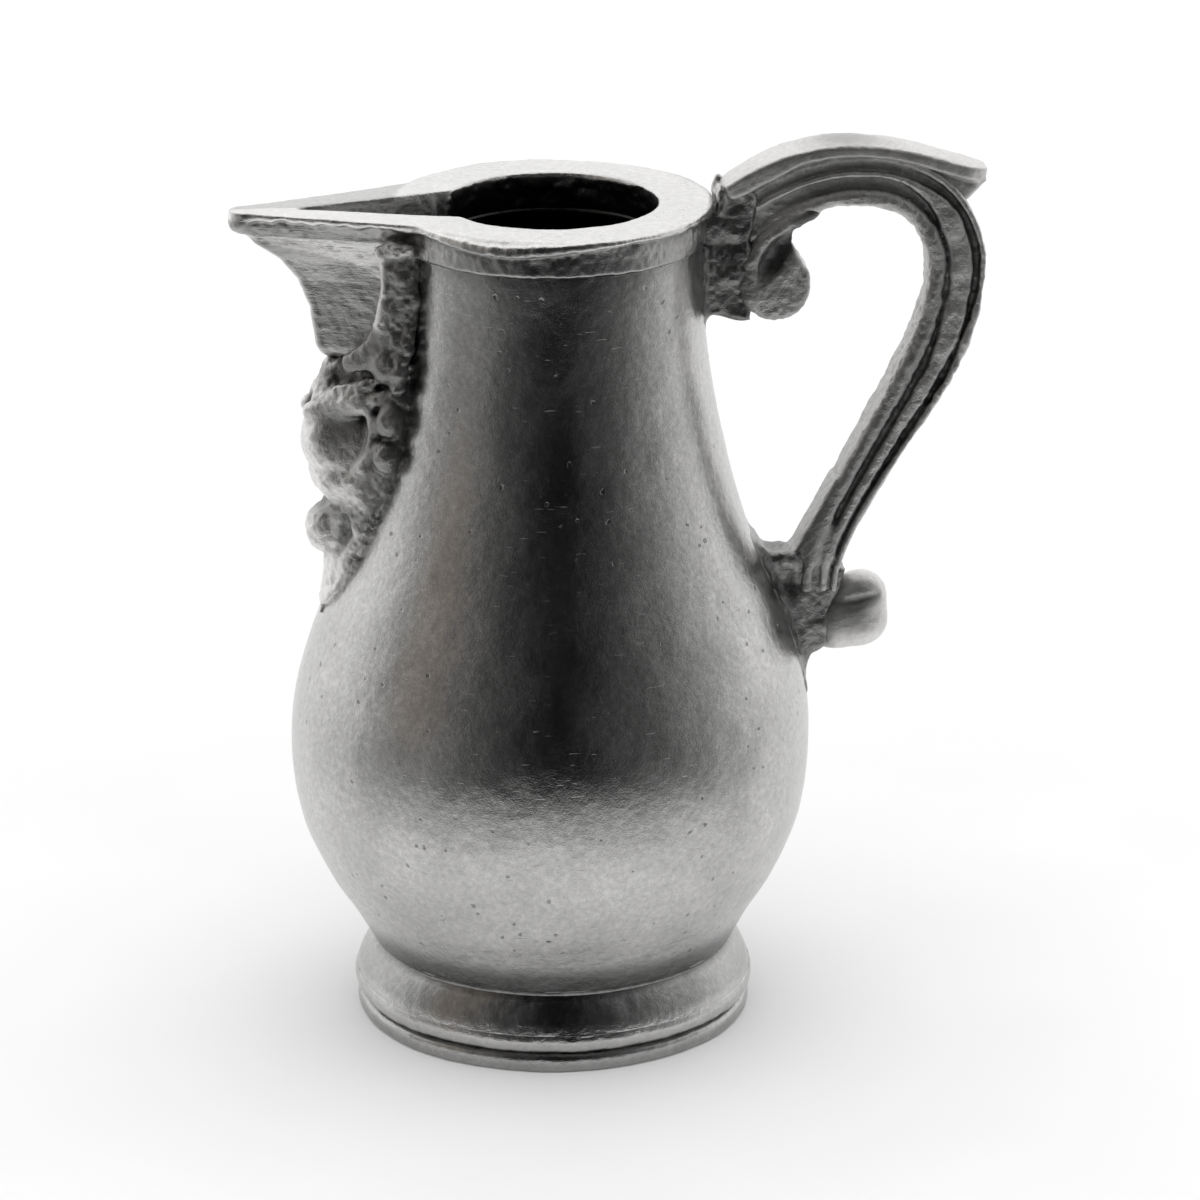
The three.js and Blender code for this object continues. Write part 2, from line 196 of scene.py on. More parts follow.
class Path:
    """A line in the XZ plane, with each grid column's place along it and distance outward."""

    def __init__(self, v, rows):
        fine = spline(rows, LINE_POINTS)
        self.points = fine[:, :2]
        self.values = fine[:, 2:]
        steps = np.hypot(*np.diff(self.points, axis=0).T)
        self.length = np.concatenate([[0], np.cumsum(steps)])
        along = directions(self.points)
        px, pz = (a.astype(np.float32) for a in np.broadcast_arrays(v.x[:, 0, :], v.z[:, 0, :]))
        best = np.full(px.shape, 1e9, np.float32)
        index = np.zeros(px.shape, int)
        for i, (x, z) in enumerate(self.points):
            away = (px - x) ** 2 + (pz - z) ** 2
            nearer = away < best
            best[nearer] = away[nearer]
            index[nearer] = i
        dx, dz = px - self.points[index, 0], pz - self.points[index, 1]
        tx, tz = along[index, 0], along[index, 1]
        self.place = (self.length[index] + dx * tx + dz * tz)[:, None, :]
        self.out = (dz * tx - dx * tz)[:, None, :]
        self.total = self.length[-1]

    def value(self, column=0):
        """The row's own extra number, at each grid column."""
        return np.interp(self.place, self.length, self.values[:, column])

    def ends(self):
        return np.maximum(-self.place, self.place - self.total)


body_curve = spline(BODY_OUTLINE, 240)


def body_radius(z):
    return np.interp(z, body_curve[:, 1], body_curve[:, 0])


def body_field(v):
    """Distance from the outside of the body, positive outside."""
    radius = body_radius(v.z)
    slope = np.gradient(radius.ravel(), v.step).reshape(radius.shape)
    return (np.hypot(v.x, v.y) - radius) / np.sqrt(1 + slope**2)


# ---- Fields to meshes ----

CORNERS = np.array([(i, j, k) for i in (0, 1) for j in (0, 1) for k in (0, 1)])
EDGES = [(a, b) for a in range(8) for b in range(a, 8) if np.abs(CORNERS[a] - CORNERS[b]).sum() == 1]


def surface(v, field):
    """Vertices and quads of the field's zero surface, one vertex to a grid cell."""
    field = np.ascontiguousarray(np.broadcast_to(field, v.shape), np.float32)
    solid = field < 0
    count = np.zeros(tuple(n - 1 for n in v.shape), np.int8)
    for corner in CORNERS:
        count += solid[tuple(slice(c, c + n - 1) for c, n in zip(corner, v.shape))]
    cells = np.argwhere((count > 0) & (count < 8))
    index = np.full(count.shape, -1, np.int64)
    index[tuple(cells.T)] = np.arange(len(cells))
    total = np.zeros((len(cells), 3))
    hits = np.zeros((len(cells), 1))
    values = [field[tuple((cells + c).T)] for c in CORNERS]
    for a, b in EDGES:
        crosses = (values[a] < 0) != (values[b] < 0)
        t = values[a][crosses] / (values[a][crosses] - values[b][crosses])
        total[crosses] += CORNERS[a] + t[:, None] * (CORNERS[b] - CORNERS[a])
        hits[crosses] += 1
    vertices = (cells + total / hits) * v.step + v.low
    quads = []
    for axis in range(3):
        u, w = (axis + 1) % 3, (axis + 2) % 3
        points = np.argwhere(np.diff(solid, axis=axis))
        points = points[(points[:, u] > 0) & (points[:, w] > 0)]
        points = points[(points[:, u] < v.shape[u] - 1) & (points[:, w] < v.shape[w] - 1)]
        ring = []
        for du, dw in ((0, 0), (1, 0), (1, 1), (0, 1)):
            cell = points.copy()
            cell[:, u] -= du
            cell[:, w] -= dw
            ring.append(index[tuple(cell.T)])
        ring = np.stack(ring, 1)
        flip = ~solid[tuple(points.T)]
        ring[flip] = ring[flip][:, ::-1]
        quads.append(ring)
    return vertices, np.concatenate(quads)


def normals(vertices, faces):
    a, b, c, d = (vertices[faces[:, i]] for i in range(4))
    face_normals = np.cross(c - a, d - b)
    total = np.zeros_like(vertices)
    for i in range(4):
        for axis in range(3):
            total[:, axis] += np.bincount(faces[:, i], face_normals[:, axis], len(vertices))
    return total / np.maximum(np.linalg.norm(total, axis=1), 1e-12)[:, None]


def relax(vertices, faces):
    """Moves each vertex half of the way to the middle of its neighbours."""
    total = np.zeros_like(vertices)
    count = np.zeros(len(vertices))
    for i in range(4):
        here, there = faces[:, i], faces[:, (i + 1) % 4]
        for a, b in ((here, there), (there, here)):
            for axis in range(3):
                total[:, axis] += np.bincount(a, vertices[b, axis], len(vertices))
            count += np.bincount(a, minlength=len(vertices))
    return vertices + 0.5 * (total / count[:, None] - vertices)


def noise(points, scale, seed):
    """Smooth noise from -1 to 1, with features about `scale` millimetres across."""
    size = 32
    table = np.random.default_rng(seed).uniform(-1, 1, (size, size, size))
    where = points / scale
    cell = np.floor(where).astype(int)
    t = where - cell
    t = t * t * (3 - 2 * t)
    total = np.zeros(len(points))
    for corner in CORNERS:
        i, j, k = ((cell + corner) % size).T
        total += table[i, j, k] * np.prod(np.where(corner, t, 1 - t), axis=1)
    return total


def cast_texture(points, amount, seed):
    """The uneven skin of a small casting: soft lumps with finer grain over them."""
    lumps = noise(points, 2.6, seed) + 0.6 * noise(points, 1.1, seed + 1)
    grain = 0.45 * noise(points, 0.5, seed + 2)
    return amount * (lumps + grain)


def sample(v, field, places):
    """The field at any places, read from the nearest grid points."""
    cell = np.rint((places - v.low) / v.step).astype(int)
    i, j, k = (np.clip(cell[:, a], 0, v.shape[a] - 1) for a in range(3))
    return field[i, j, k]


def hollows(v, field, vertices, outward, reach=0.7):
    """How deep in a hollow each vertex lies, from 0 to 1."""
    near = sample(v, field, vertices + outward * reach) / reach
    far = sample(v, field, vertices + outward * reach * 2) / (reach * 2)
    return np.clip(1 - (near + far) / 2, 0, 1)


def edges(v, field, vertices, outward, reach=0.6):
    """How close to an outer edge each vertex lies, from 0 to 1."""
    within = -sample(v, field, vertices - outward * reach) / reach
    return np.clip(1.1 - within, 0, 1)


def new_object(name, places, faces):
    """Adds a mesh to the scene, given in metres."""
    mesh = bpy.data.meshes.new(name)
    mesh.from_pydata(places, [], faces)
    made = bpy.data.objects.new(name, mesh)
    bpy.context.scene.collection.objects.link(made)
    return made


def mark_vertices(mesh, marks):
    """Gives each vertex the numbers that the materials read by name."""
    for label, numbers in marks.items():
        mark = mesh.attributes.new(label, "FLOAT", "POINT")
        mark.data.foreach_set("value", np.ascontiguousarray(numbers, np.float32))


def add_piece(name, vertices, faces, finish, nodes, marks):
    """Adds a smooth mesh given in millimetres from the jug's axis."""
    places = (vertices + (AXIS_X, 0, 0)) * MM
    piece = new_object(name, places.tolist(), [list(face) for face in faces])
    piece.data.polygons.foreach_set("use_smooth", np.ones(len(faces), bool))
    piece.data.update()
    piece.data.materials.append(finish)
    mark_vertices(piece.data, marks)
    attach(piece, "root")
    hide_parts(*nodes)
    return piece


def cast_mesh(v, field, rough, painted_shade_and_dirt=0.0):
    """The field's surface with a cast skin; rough and painted_shade_and_dirt (the painted shade, with some
    dirt, that the material darkens by) are numbers or functions of x, y, z.
    """
    field = np.ascontiguousarray(np.broadcast_to(field, v.shape), np.float32)
    vertices, faces = surface(v, field)
    vertices = relax(vertices, faces)
    outward = normals(vertices, faces)
    marks = {
        "hollow": hollows(v, field, vertices, outward),
        "edge": edges(v, field, vertices, outward),
    }
    vertex_shade_and_dirt = painted_shade_and_dirt(*vertices.T) if callable(painted_shade_and_dirt) else painted_shade_and_dirt
    marks["painted_shade_and_dirt"] = np.broadcast_to(vertex_shade_and_dirt, len(vertices))
    depth = rough(*vertices.T) if callable(rough) else rough
    skin = cast_texture(vertices, 1.0, int(v.shape[0] + v.shape[2])) * depth
    return vertices + outward * skin[:, None], faces, marks


# The casting's painted shade and dirt is a number or a function of x, y, z.
def add_casting(name, v, field, finish, nodes, rough, painted_shade_and_dirt=0.0):
    vertices, faces, marks = cast_mesh(v, field, rough, painted_shade_and_dirt)
    add_piece(name, vertices, faces, finish, nodes, marks)


def half_of(v):
    """The same box folded onto its front half, so that what is added there shows behind too."""
    half = copy.copy(v)
    half.y = -np.abs(v.y)
    return half


def add_turned(name, profile, finish, node, turns, rough, seed, shape, painted_shade_and_dirt):
    """Turns a closed (radius, z) outline; one that starts and ends near the axis is capped."""
    profile = np.array(profile, float)
    capped = profile[0, 0] < 1 and profile[-1, 0] < 1
    angle = np.linspace(0, 2 * math.pi, turns, endpoint=False)[:, None]
    ones = np.ones((turns, 1))
    x, y = np.cos(angle) * profile[:, 0], np.sin(angle) * profile[:, 0]
    vertices = np.stack([x, y, ones * profile[:, 1]], 2).reshape(-1, 3)
    rows = len(profile)
    across = np.arange(rows - 1 if capped else rows)
    here = (np.arange(turns)[:, None] * rows + across).ravel()
    above = (np.arange(turns)[:, None] * rows + (across + 1) % rows).ravel()
    there, there_above = (here + rows) % len(vertices), (above + rows) % len(vertices)
    faces = np.stack([here, there, there_above, above], 1)
    vertices = shape(vertices)
    skin = cast_texture(vertices, rough, seed)
    vertices = vertices + normals(vertices, faces) * skin[:, None]
    faces = faces.tolist()
    if capped:
        faces.append([i * rows for i in reversed(range(turns))])
        faces.append([i * rows + rows - 1 for i in range(turns)])
    # The piece's painted shade and dirt, read by the material.
    return add_piece(name, vertices, faces, finish, [node], {"painted_shade_and_dirt": painted_shade_and_dirt(*vertices.T)})


# ---- Body and foot ----


def body_painted_shade(x, y, z):
    """Painted shade: dark inside, a little under the rim and low down, and darker round the handle's lower
    joint.
    """
    outer = body_radius(z)
    inside = np.clip((outer - 0.8 - np.hypot(x, y)) / 0.5, 0, 1) * (z > 9)
    under_rim = 0.25 * bell(z, NECK_TOP, 1.2)
    low = 0.72 * step_between(13 - z, 0, 3.2)
    joint = 0.5 * np.exp(-(((x - 23) / 4) ** 2 + (y / 3.6) ** 2 + ((z - 43) / 6.5) ** 2))
    return np.maximum.reduce([1.25 * inside, under_rim, low, joint * (x > 0)])


def hand_raised(vertices):
    """The belly of a thin cast body is never quite round."""
    x, y, z = vertices.T
    belly = bell(z, 30, 20)
    shift = -0.22 * belly
    dents = 0.12 * noise(vertices, 13, 41)
    radius = np.hypot(x, y)
    share = 1 + np.minimum(dents, 0.1) / np.maximum(radius, 4) - 0.004
    return np.stack([x * share + shift, y * share, z], 1)


def add_body(finish):
    inside = spline(BODY_HOLLOW, 150)
    floor = spline(BODY_FLOOR, 40)
    neck_edge = [(13.4, NECK_TOP)]
    seat = [(19.2, 8.45)]
    profile = np.vstack([floor, seat, body_curve, neck_edge, inside])
    profile[:, 0] = np.maximum(profile[:, 0], 0.02)
    shape, painted_shade_and_dirt = hand_raised, body_painted_shade
    cut_spout_hole(add_turned("cast_body", profile, finish, "body", 400, 0.03, 3, shape, painted_shade_and_dirt))


def cut_spout_hole(body):
    """Opens the neck's wall behind the spout, a hair wider than the spout's own channel."""
    verts, faces = [], []
    for z, keel, half, _ in CHANNEL_LEVELS[:4]:
        for x, y in ((keel, -0.2), (keel, 0.2), (-9, half + 0.15), (-9, -half - 0.15)):
            verts.append(((x + AXIS_X) * MM, y * MM, z * MM))
    for low in range(0, 12, 4):
        for i in range(4):
            j = (i + 1) % 4
            faces.append((low + i, low + j, low + j + 4, low + i + 4))
    faces += [(3, 2, 1, 0), (12, 13, 14, 15)]
    cutter = new_object("hole_cutter", verts, faces)
    hole = body.modifiers.new("spout hole", "BOOLEAN")
    hole.operation = "DIFFERENCE"
    hole.solver = "EXACT"
    hole.object = cutter
    bpy.context.view_layer.objects.active = body
    bpy.ops.object.modifier_apply(modifier=hole.name)
    bpy.data.objects.remove(cutter)


FOOT_BORE = 16.4


def wavy(vertices):
    """Rings cast by hand: their edges wander a little."""
    x, y, z = vertices.T
    turn = np.arctan2(y, x)
    out = 0.06 * np.sin(3 * turn + 1) + 0.05 * np.sin(7 * turn)
    share = 1 + (out - 0.09) / np.maximum(np.hypot(x, y), 4)
    return np.stack([x * share, y * share, z], 1)


def foot_painted_shade(x, y, z):
    """Painted shade in the two grooves, a little on the flare as a painted dark reflection, and low on the
    base by the floor.
    """
    grooves = 0.6 * bell(z, 2.1, 0.4) + 0.5 * bell(z, 8, 0.8)
    flare = 0.25 * step_between(z, 4.6, 5.4)
    return np.maximum(grooves, flare) + 0.35 * step_between(1.7 - z, 0, 1)


def add_foot(finish):
    """Three rings, each with a rounded outside and the same plain bore."""
    flare = [
        (21.15, 4.15), (21.0, 4.7), (20.7, 5.5), (20.2, 6.4),
        (19.6, 7.3), (19.15, 7.8), (19.1, 8.1), (19.3, 8.5),
    ]
    moulding = [(20.4, 2), (20.9, 2.3), (21.25, 2.9), (21.35, 3.5), (21.15, 4.2)]
    base = [(20.4, 0), (20.85, 0.1), (21.0, 0.5), (21.0, 1.2), (20.8, 1.7), (20.2, 2.05)]
    for name, node, edge, points, seed, shape in (
        ("foot_cove_ring", "foot_cove", flare, 36, 11, wavy),
        ("foot_moulding_ring", "foot_moulding", moulding, 20, 11, wavy),
        ("foot_base_ring", "foot_base_wire", base, 18, 13, flat_below),
    ):
        bore = [(FOOT_BORE, edge[-1][1]), (FOOT_BORE, edge[0][1])]
        profile = np.vstack([spline(edge, points), bore])
        add_turned(name, profile, finish, node, 300, 0.05, seed, shape, foot_painted_shade)


def flat_below(vertices):
    """A wavy ring that still stands level on the floor."""
    moved = wavy(vertices)
    moved[:, 2] = np.maximum(vertices[:, 2], 0.1)
    return moved


# ---- Rim and spout ----

# Level outlines of the beak: (height, keel's x, half-width at the neck, nose's radius).
BEAK_LEVELS = [
    (72.2, -24, 4.4, 1.1), (74, -24.8, 5, 1.1), (78, -25.3, 5.3, 1.1),
    (81, -26.4, 5.5, 1.1), (83.2, -28.3, 5.8, 1.1), (85, -31, 6.2, 1.2),
    (86.6, -32.4, 6.8, 1.4), (87.9, -33.1, 7.9, 1.7), (88.6, -33.3, 8.2, 1.7),
]
CHANNEL_LEVELS = [
    (74.5, -15.5, 0.9, 0.3), (78, -18, 2.4, 0.3), (82, -21, 3.7, 0.3),
    (86, -24.4, 4.9, 0.3), (89.6, -26.8, 5.7, 0.4),
]
BEAK_ROOT = -15.4
RIM_BORE = 10.9
SPOUT_START = -13.3  # x at which the spout's casting meets the rim's
SEAM_X = -13.5  # x beyond which the spout's own grime and edges begin


def wedge(v, levels, root, grow=0.0):
    """A stack of level wedges, each round at its nose."""
    table = np.array(levels, float)
    keel, half, nose = (np.interp(v.z, table[:, 0], table[:, i]) for i in (1, 2, 3))
    middle = keel + nose
    t = np.clip((v.x - middle) / (root - middle), 0, 1)
    centre = np.clip(v.x, middle, 0)
    flat = np.hypot(v.x - centre, v.y) - (nose + (half - nose) * t) - grow
    lean = np.gradient(keel.ravel(), v.step).reshape(keel.shape)
    return flat / np.sqrt(1 + (lean * np.clip(1 - t, 0, 1)) ** 2 + 0.15)


def ring_field(v, low, high, inner, outer):
    """A square-section ring between two heights and two radii."""
    radius = np.hypot(v.x, v.y)
    a = np.abs(radius - (inner + outer) / 2) - (outer - inner) / 2
    b = np.abs(v.z - (low + high) / 2) - (high - low) / 2
    return overlap(a, b)


def rim_and_spout(v):
    """The flat flange over its band, run out into the beak with its open channel."""
    turn = np.arctan2(v.y, v.x)
    droop = bell(turn, -2.0, 0.42) + 0.25 * bell(turn, 2.3, 0.4)
    wander = 0.1 * np.sin(5 * turn + 0.6) + 0.06 * np.sin(9 * turn)
    radius = np.hypot(v.x, v.y)
    band = ring_field(v, NECK_TOP, RIM_Z - 0.1, RIM_BORE, 16.05)
    band = join(band, ring_field(v, NECK_TOP - 1.2, NECK_TOP + 1, 11.1, 15.3), blend=0.1)
    band = join(band, ring_field(v, NECK_TOP - 3.8, NECK_TOP + 1, 11.1, 12.9), blend=0.05)
    flange_low = RIM_Z - 0.8 - 1.0 * droop + wander
    flange_out = 16.75 + 0.45 * droop + 0.15 * np.sin(4 * turn)
    roll = 0.8 * droop * np.clip((radius - 14.6) / 2.6, 0, 1) ** 2
    top = v.z - RIM_Z + roll + 0.04
    flange = overlap(radius - flange_out, flange_low - v.z, top, RIM_BORE - radius, blend=0.4)
    rim = join(band, flange, blend=0.35)

    wall = overlap(wedge(v, BEAK_LEVELS, BEAK_ROOT, -0.3), v.z - (RIM_Z - 0.3), 72.2 - v.z, blend=1.6)
    wall = overlap(wall, v.x + 12.5, blend=0.2)
    lip_low = RIM_Z - 0.85 + 0.12 * np.sin(v.x * 1.3) + 0.1 * np.sin(v.x * 2.9 + 1)
    lip = overlap(wedge(v, BEAK_LEVELS, BEAK_ROOT), v.z - RIM_Z + 0.04, lip_low - v.z, blend=0.4)
    lip = overlap(lip, v.x + 10, blend=0.2)
    knob = egg(v, (-31.75, 0, 87.3), (1.45, 1.55, 1.35))
    spout = join(wall, lip, blend=0.3)
    spout = join(spout, knob)
    half = half_of(v)
    groove = rods(half, [(-31, -2.8, 87.4, 0.25), (-26, -4.6, 87.25, 0.45), (-20, -6.7, 87, 0.5)], 0.2)
    lower = rods(half, [(-31.5, -1.9, 86.1, 0.2), (-27, -3.4, 85.4, 0.3), (-23.5, -4.6, 85.3, 0.2)], 0.2)
    spout = cut(spout, groove, 0.35)
    spout = cut(spout, lower, 0.4)

    whole = join(rim, spout, blend=0.9)
    whole = overlap(whole, v.z - RIM_Z + 0.04, blend=0.1)
    whole = cut(whole, wedge(v, CHANNEL_LEVELS, -9.0), 0.35)
    bore = RIM_BORE + 0.4 * np.clip((RIM_Z - v.z) / 4, 0, 1)
    return cut(whole, radius - bore, 0.5)


def rim_painted_shade(x, y, z):
    """Painted shade on the band below the flange, in the bore and in the channel."""
    band = step_between(RIM_Z - z, 0.7, 1.2) * (x > SEAM_X)
    bore = 0.9 * (np.hypot(x, y) < 12.2) * step_between(RIM_Z - z, 0.3, 1.6)
    seam = 0.5 * (z > 86.0) * step_between(RIM_Z - z, 0.8, 1.2) * (x < SEAM_X)
    channel = 0.35 * (x < -11) * (np.abs(y) < 0.27 * (x + 33.5)) * step_between(RIM_Z - z, 0.5, 2)
    flank = 0.06 * (x < SPOUT_START) * step_between(RIM_Z - z, 0.6, 1)
    back_edge = 0.3 * (y > 0) * step_between(np.hypot(x, y), 16, 16.6)
    outside = np.maximum.reduce([0.42 * band, back_edge, flank])
    return np.maximum.reduce([outside, bore, seam, channel])


def rim_roughness(x, y, z):
    """Roughest below the flange and smoothest on top."""
    on_top = np.clip((z - RIM_Z + 0.4) / 0.4, 0, 1)
    under = bell(z, 87.0, 0.9)
    return (0.075 + 0.06 * under) * (1 - 0.6 * on_top)


def add_rim_and_spout(rim_finish, spout_finish):
    """One casting, split between the rim's piece and the spout's."""
    v = Volume((-34.6, -18, 71), (18, 18, 89.4), 0.2)
    vertices, faces, marks = cast_mesh(v, rim_and_spout(v), rim_roughness, rim_painted_shade)
    vertices[:, 2] = np.minimum(vertices[:, 2], RIM_Z + 0.1)
    x, _, z = vertices.T
    on_side = (z < RIM_Z - 0.15) & ((z > NECK_TOP + 0.5) | (x < SEAM_X))
    marks["edge"] = marks["edge"] * on_side
    spout_side = vertices[faces].mean(1)[:, 0] < SPOUT_START
    for name, part, finish, slot, node in (
        ("rim_casting", ~spout_side, rim_finish, "rim_metal", "rim_collar"),
        ("spout_casting", spout_side, spout_finish, "spout_metal", "spout"),
    ):
        used, numbers = np.unique(faces[part], return_inverse=True)
        kept = {label: mark[used] for label, mark in marks.items()}
        add_piece(name, vertices[used], numbers.reshape(-1, 4), finish, [node], kept)


# The solder over the spout's joint, from the rim down: (x, y, z, radius).
STRAP_ROUTE = [
    (-16.7, -6.5, 85.3, 1.2), (-16.5, -6.25, 82.6, 1.3), (-16.8, -5.9, 79.4, 1.5),
    (-17.6, -5.6, 76.4, 1.5), (-18.9, -5.1, 74.2, 1.5), (-21.0, -3.6, 72.9, 1.1),
]
FILLET_ROUTE = [
    (-15.0, -6.2, 85, 0.9), (-15.1, -6.3, 80, 0.9), (-15.8, -6.6, 75, 0.9),
    (-16.6, -7, 71, 0.8),
]


def add_seam_strap(name, node, back, finish):
    """A rough strap of solder down the spout's joint; the back one mirrors the front one."""
    v = Volume((-24.2, -9.6, 66.4), (-13.2, 0.2, 87.2), 0.15)
    strap = rods(v, STRAP_ROUTE, 0.5)
    face = -0.52 * (v.x + 17.3) - 0.855 * (v.y + 6.95)
    strap = overlap(strap, face, blend=0.5)
    cap = rod(v, (-18.1, -6.3, 85.3), (-15.4, -7.4, 85.7), 0.55, 0.5)
    edge = rods(v, [(-18.0, -6.4, 84.6, 0.3), (-17.7, -6.4, 81, 0.2), (-18.2, -6.1, 77.4, 0.4)], 0.4)
    foot = egg(v, (-17.3, -5.6, 73.2), (1.9, 1.5, 2.2), 0.4)
    fillet = rods(v, FILLET_ROUTE)
    strap = join(strap, cap, edge, foot, fillet, blend=0.8)
    strap = cut(strap, body_field(v) + 0.6, 0.05)
    vertices, faces, marks = cast_mesh(v, strap, strap_roughness, strap_painted_shade)
    if back:
        vertices = vertices * (1, -1, 1)
        faces = faces[:, ::-1]
    add_piece(name, vertices, faces, finish, [node], marks)


def strap_roughness(x, y, z):
    """Smoother toward the strap's outer edge."""
    return 0.3 * np.clip((x + 18.1) / 0.8, 0.5, 1)


def strap_painted_shade(x, y, z):
    """Painted shade, except on its top, which is left lit, and on its worn outer edge."""
    edge = step_between(-x, 17.6, 18.0) * step_between(z, 76.5, 78)
    top = step_between(z, 84.8, 85.2)
    return 0.62 * (1 - np.maximum(edge, top))


# ---- The cast drop under the spout ----

# Leaf-shaped backplate: (height, half-width round the body, thickness).
LEAF_LEVELS = [
    (45.4, 0.4, 0.1), (46.2, 1.8, 0.5), (48, 3.6, 0.9), (51, 4.8, 1.8), (54, 5.2, 3.0),
    (57, 5.9, 4.2), (60, 6.9, 4.2), (64, 7.6, 3.4), (68.4, 7, 3.2), (70.5, 6, 2.6),
]
# Level outlines of the collar, as the beak's are given.
COLLAR_LEVELS = [
    (68.2, -24.0, 5.6, 2.2), (69, -24.7, 6.2, 2.4), (70.2, -24.6, 6.1, 2.2),
    (71.9, -23.7, 5.6, 1.8), (72.6, -23.4, 5.4, 1.6),
]


def drop_field(v):
    """A collar over a domed shell in a frame, with side lobes, a bud and a leaf behind them."""
    half = half_of(v)
    turn = np.arctan2(np.abs(v.y), -v.x)
    table = np.array(LEAF_LEVELS, float)
    half_width = np.interp(v.z, table[:, 0], table[:, 1])
    thickness = np.interp(v.z, table[:, 0], table[:, 2])
    skin = body_field(v)
    across = turn * body_radius(v.z) / half_width
    crown = thickness * np.cos(np.clip(across, 0, 1) * 1.35) + 0.35
    leaf = overlap(skin - crown, (across - 1) * half_width * 0.8, blend=0.6)

    collar = wedge(half, COLLAR_LEVELS, BEAK_ROOT)
    collar = overlap(collar, v.z - 72.7, 68.6 - v.z, blend=0.6)
    ridge = rods(half, [(-22.6, -3.2, 69.9, 0.4), (-20.2, -4.7, 70.6, 0.5), (-17.8, -5.7, 71.8, 0.5)], 0.4)
    low_band = rods(half, [(-24.2, -1.1, 68.7, 0.6), (-21.4, -4.0, 68.9, 0.7), (-16.8, -6.2, 69.8, 0.7)], 0.5)
    collar = join(collar, ridge, low_band, blend=1.2)

    dome = egg(half, (-20.7, 0, 63.7), (5.5, 5.7, 5.0), 0.1)
    facet = -0.3 * (half.x + 22.4) - 0.93 * (half.y + 4.0) + 0.2 * (half.z - 65.9)
    dome = overlap(dome, facet, blend=0.6)
    brow = rod(half, (-25.2, -1.2, 67.2), (-20.2, -4.6, 68.4), 0.9, 0.9)
    dome = join(dome, brow, blend=1.0)
    frame_route = [
        (-19.6, -5.0, 68.9, 0.5), (-18.9, -5.8, 66.8, 0.6), (-19.1, -5.9, 64.4, 0.62),
        (-20.0, -5.4, 62.2, 0.6), (-21.5, -4.4, 60.4, 0.62), (-23.0, -3.2, 58.8, 0.72),
    ]
    frame_bar = rods(half, frame_route)
    lobe_top = egg(half, (-17.4, -6.8, 67.3), (1.5, 1.3, 1.9), 0.15)
    lobe_low = egg(half, (-17.8, -7.0, 63.6), (1.5, 1.3, 1.9), -0.2)
    under = egg(half, (-20.8, 0, 60.2), (4.6, 5.3, 3.0))

    bud = egg(half, (-23.4, -0.5, 54.2), (2.4, 2.4, 2.7), 0.15)
    crevice = rods(half, [(-22.0, -4.3, 56.4, 0.3), (-22.0, -4.5, 54.8, 0.6), (-22.8, -3.6, 52.6, 0.3)], 0.5)
    waist = egg(half, (-25.3, -2.0, 57.5), (2.0, 3.4, 0.9), -0.2)

    form = join(leaf, under, blend=1.4)
    form = join(form, lobe_top, lobe_low, blend=0.35)
    form = join(form, dome)
    form = cut(form, waist, 0.7)
    form = cut(form, crevice, 0.9)
    form = join(form, bud, blend=0.4)
    form = join(form, frame_bar, blend=0.6)
    form = join(form, collar, blend=1.0)
    return cut(form, skin + 0.8, 0.05)


def drop_painted_shade(x, y, z):
    """Painted shade between the raised forms: on the collar, beside the frame, in the waist and crevice, and
    a painted dark reflection on the facet.
    """
    side = np.abs(y)
    collar = 0.6 * bell(z, 71.2, 1.2)
    facet = 0.62 * np.exp(-(((x + 22) / 2.6) ** 4 + ((side - 4.2) / 2) ** 4 + ((z - 66.2) / 2.4) ** 4))
    beside = 0.6 * step_between(side, 5.6, 6.4) * (z > 56)
    waist = 0.6 * bell(z, 56.8, 1.3)
    crevice = 0.85 * np.exp(-(((x + 22.2) / 1.1) ** 2 + ((side - 4.3) / 1.6) ** 2 + ((z - 54.6) / 1.5) ** 2))
    return np.maximum.reduce([collar, facet, beside, waist, crevice])


def drop_roughness(x, y, z):
    """Roughest in two bands, above and below the shell, and smoothest on its facet."""
    facet = ((x + 22.4) / 2.8) ** 2 + ((np.abs(y) - 4.0) / 2.2) ** 2 + ((z - 65.9) / 2.4) ** 2
    rough_bands = bell(z, 71, 1.6) + bell(z, 57.4, 1.4)
    return 0.16 + 0.08 * rough_bands - 0.12 * np.exp(-facet)


def add_drop(finish):
    v = Volume((-27.2, -10, 44.6), (-12.6, 10, 73.2), 0.15)
    nodes = ["drop_neck", "drop_leaf", "drop_shell", "drop_lobe_front", "drop_lobe_back", "drop_bud"]
    add_casting("drop_casting", v, drop_field(v), finish, nodes, drop_roughness, drop_painted_shade)


# ---- Handle ----


def rounded(out, y, centre, half_depth, half_width, radius):
    """A bar with round edges: out is the distance outward from the handle's line, y across it."""
    a = np.abs(out - centre) - half_depth + radius
    b = np.abs(y) - half_width + radius
    corner = np.hypot(np.maximum(a, 0), np.maximum(b, 0))
    return np.minimum(np.maximum(a, b), 0) + corner - radius


HANDLE_HALF_WIDTH = 2.45
CASTING_ROOT = 0.8  # how far the castings run into the body's wall


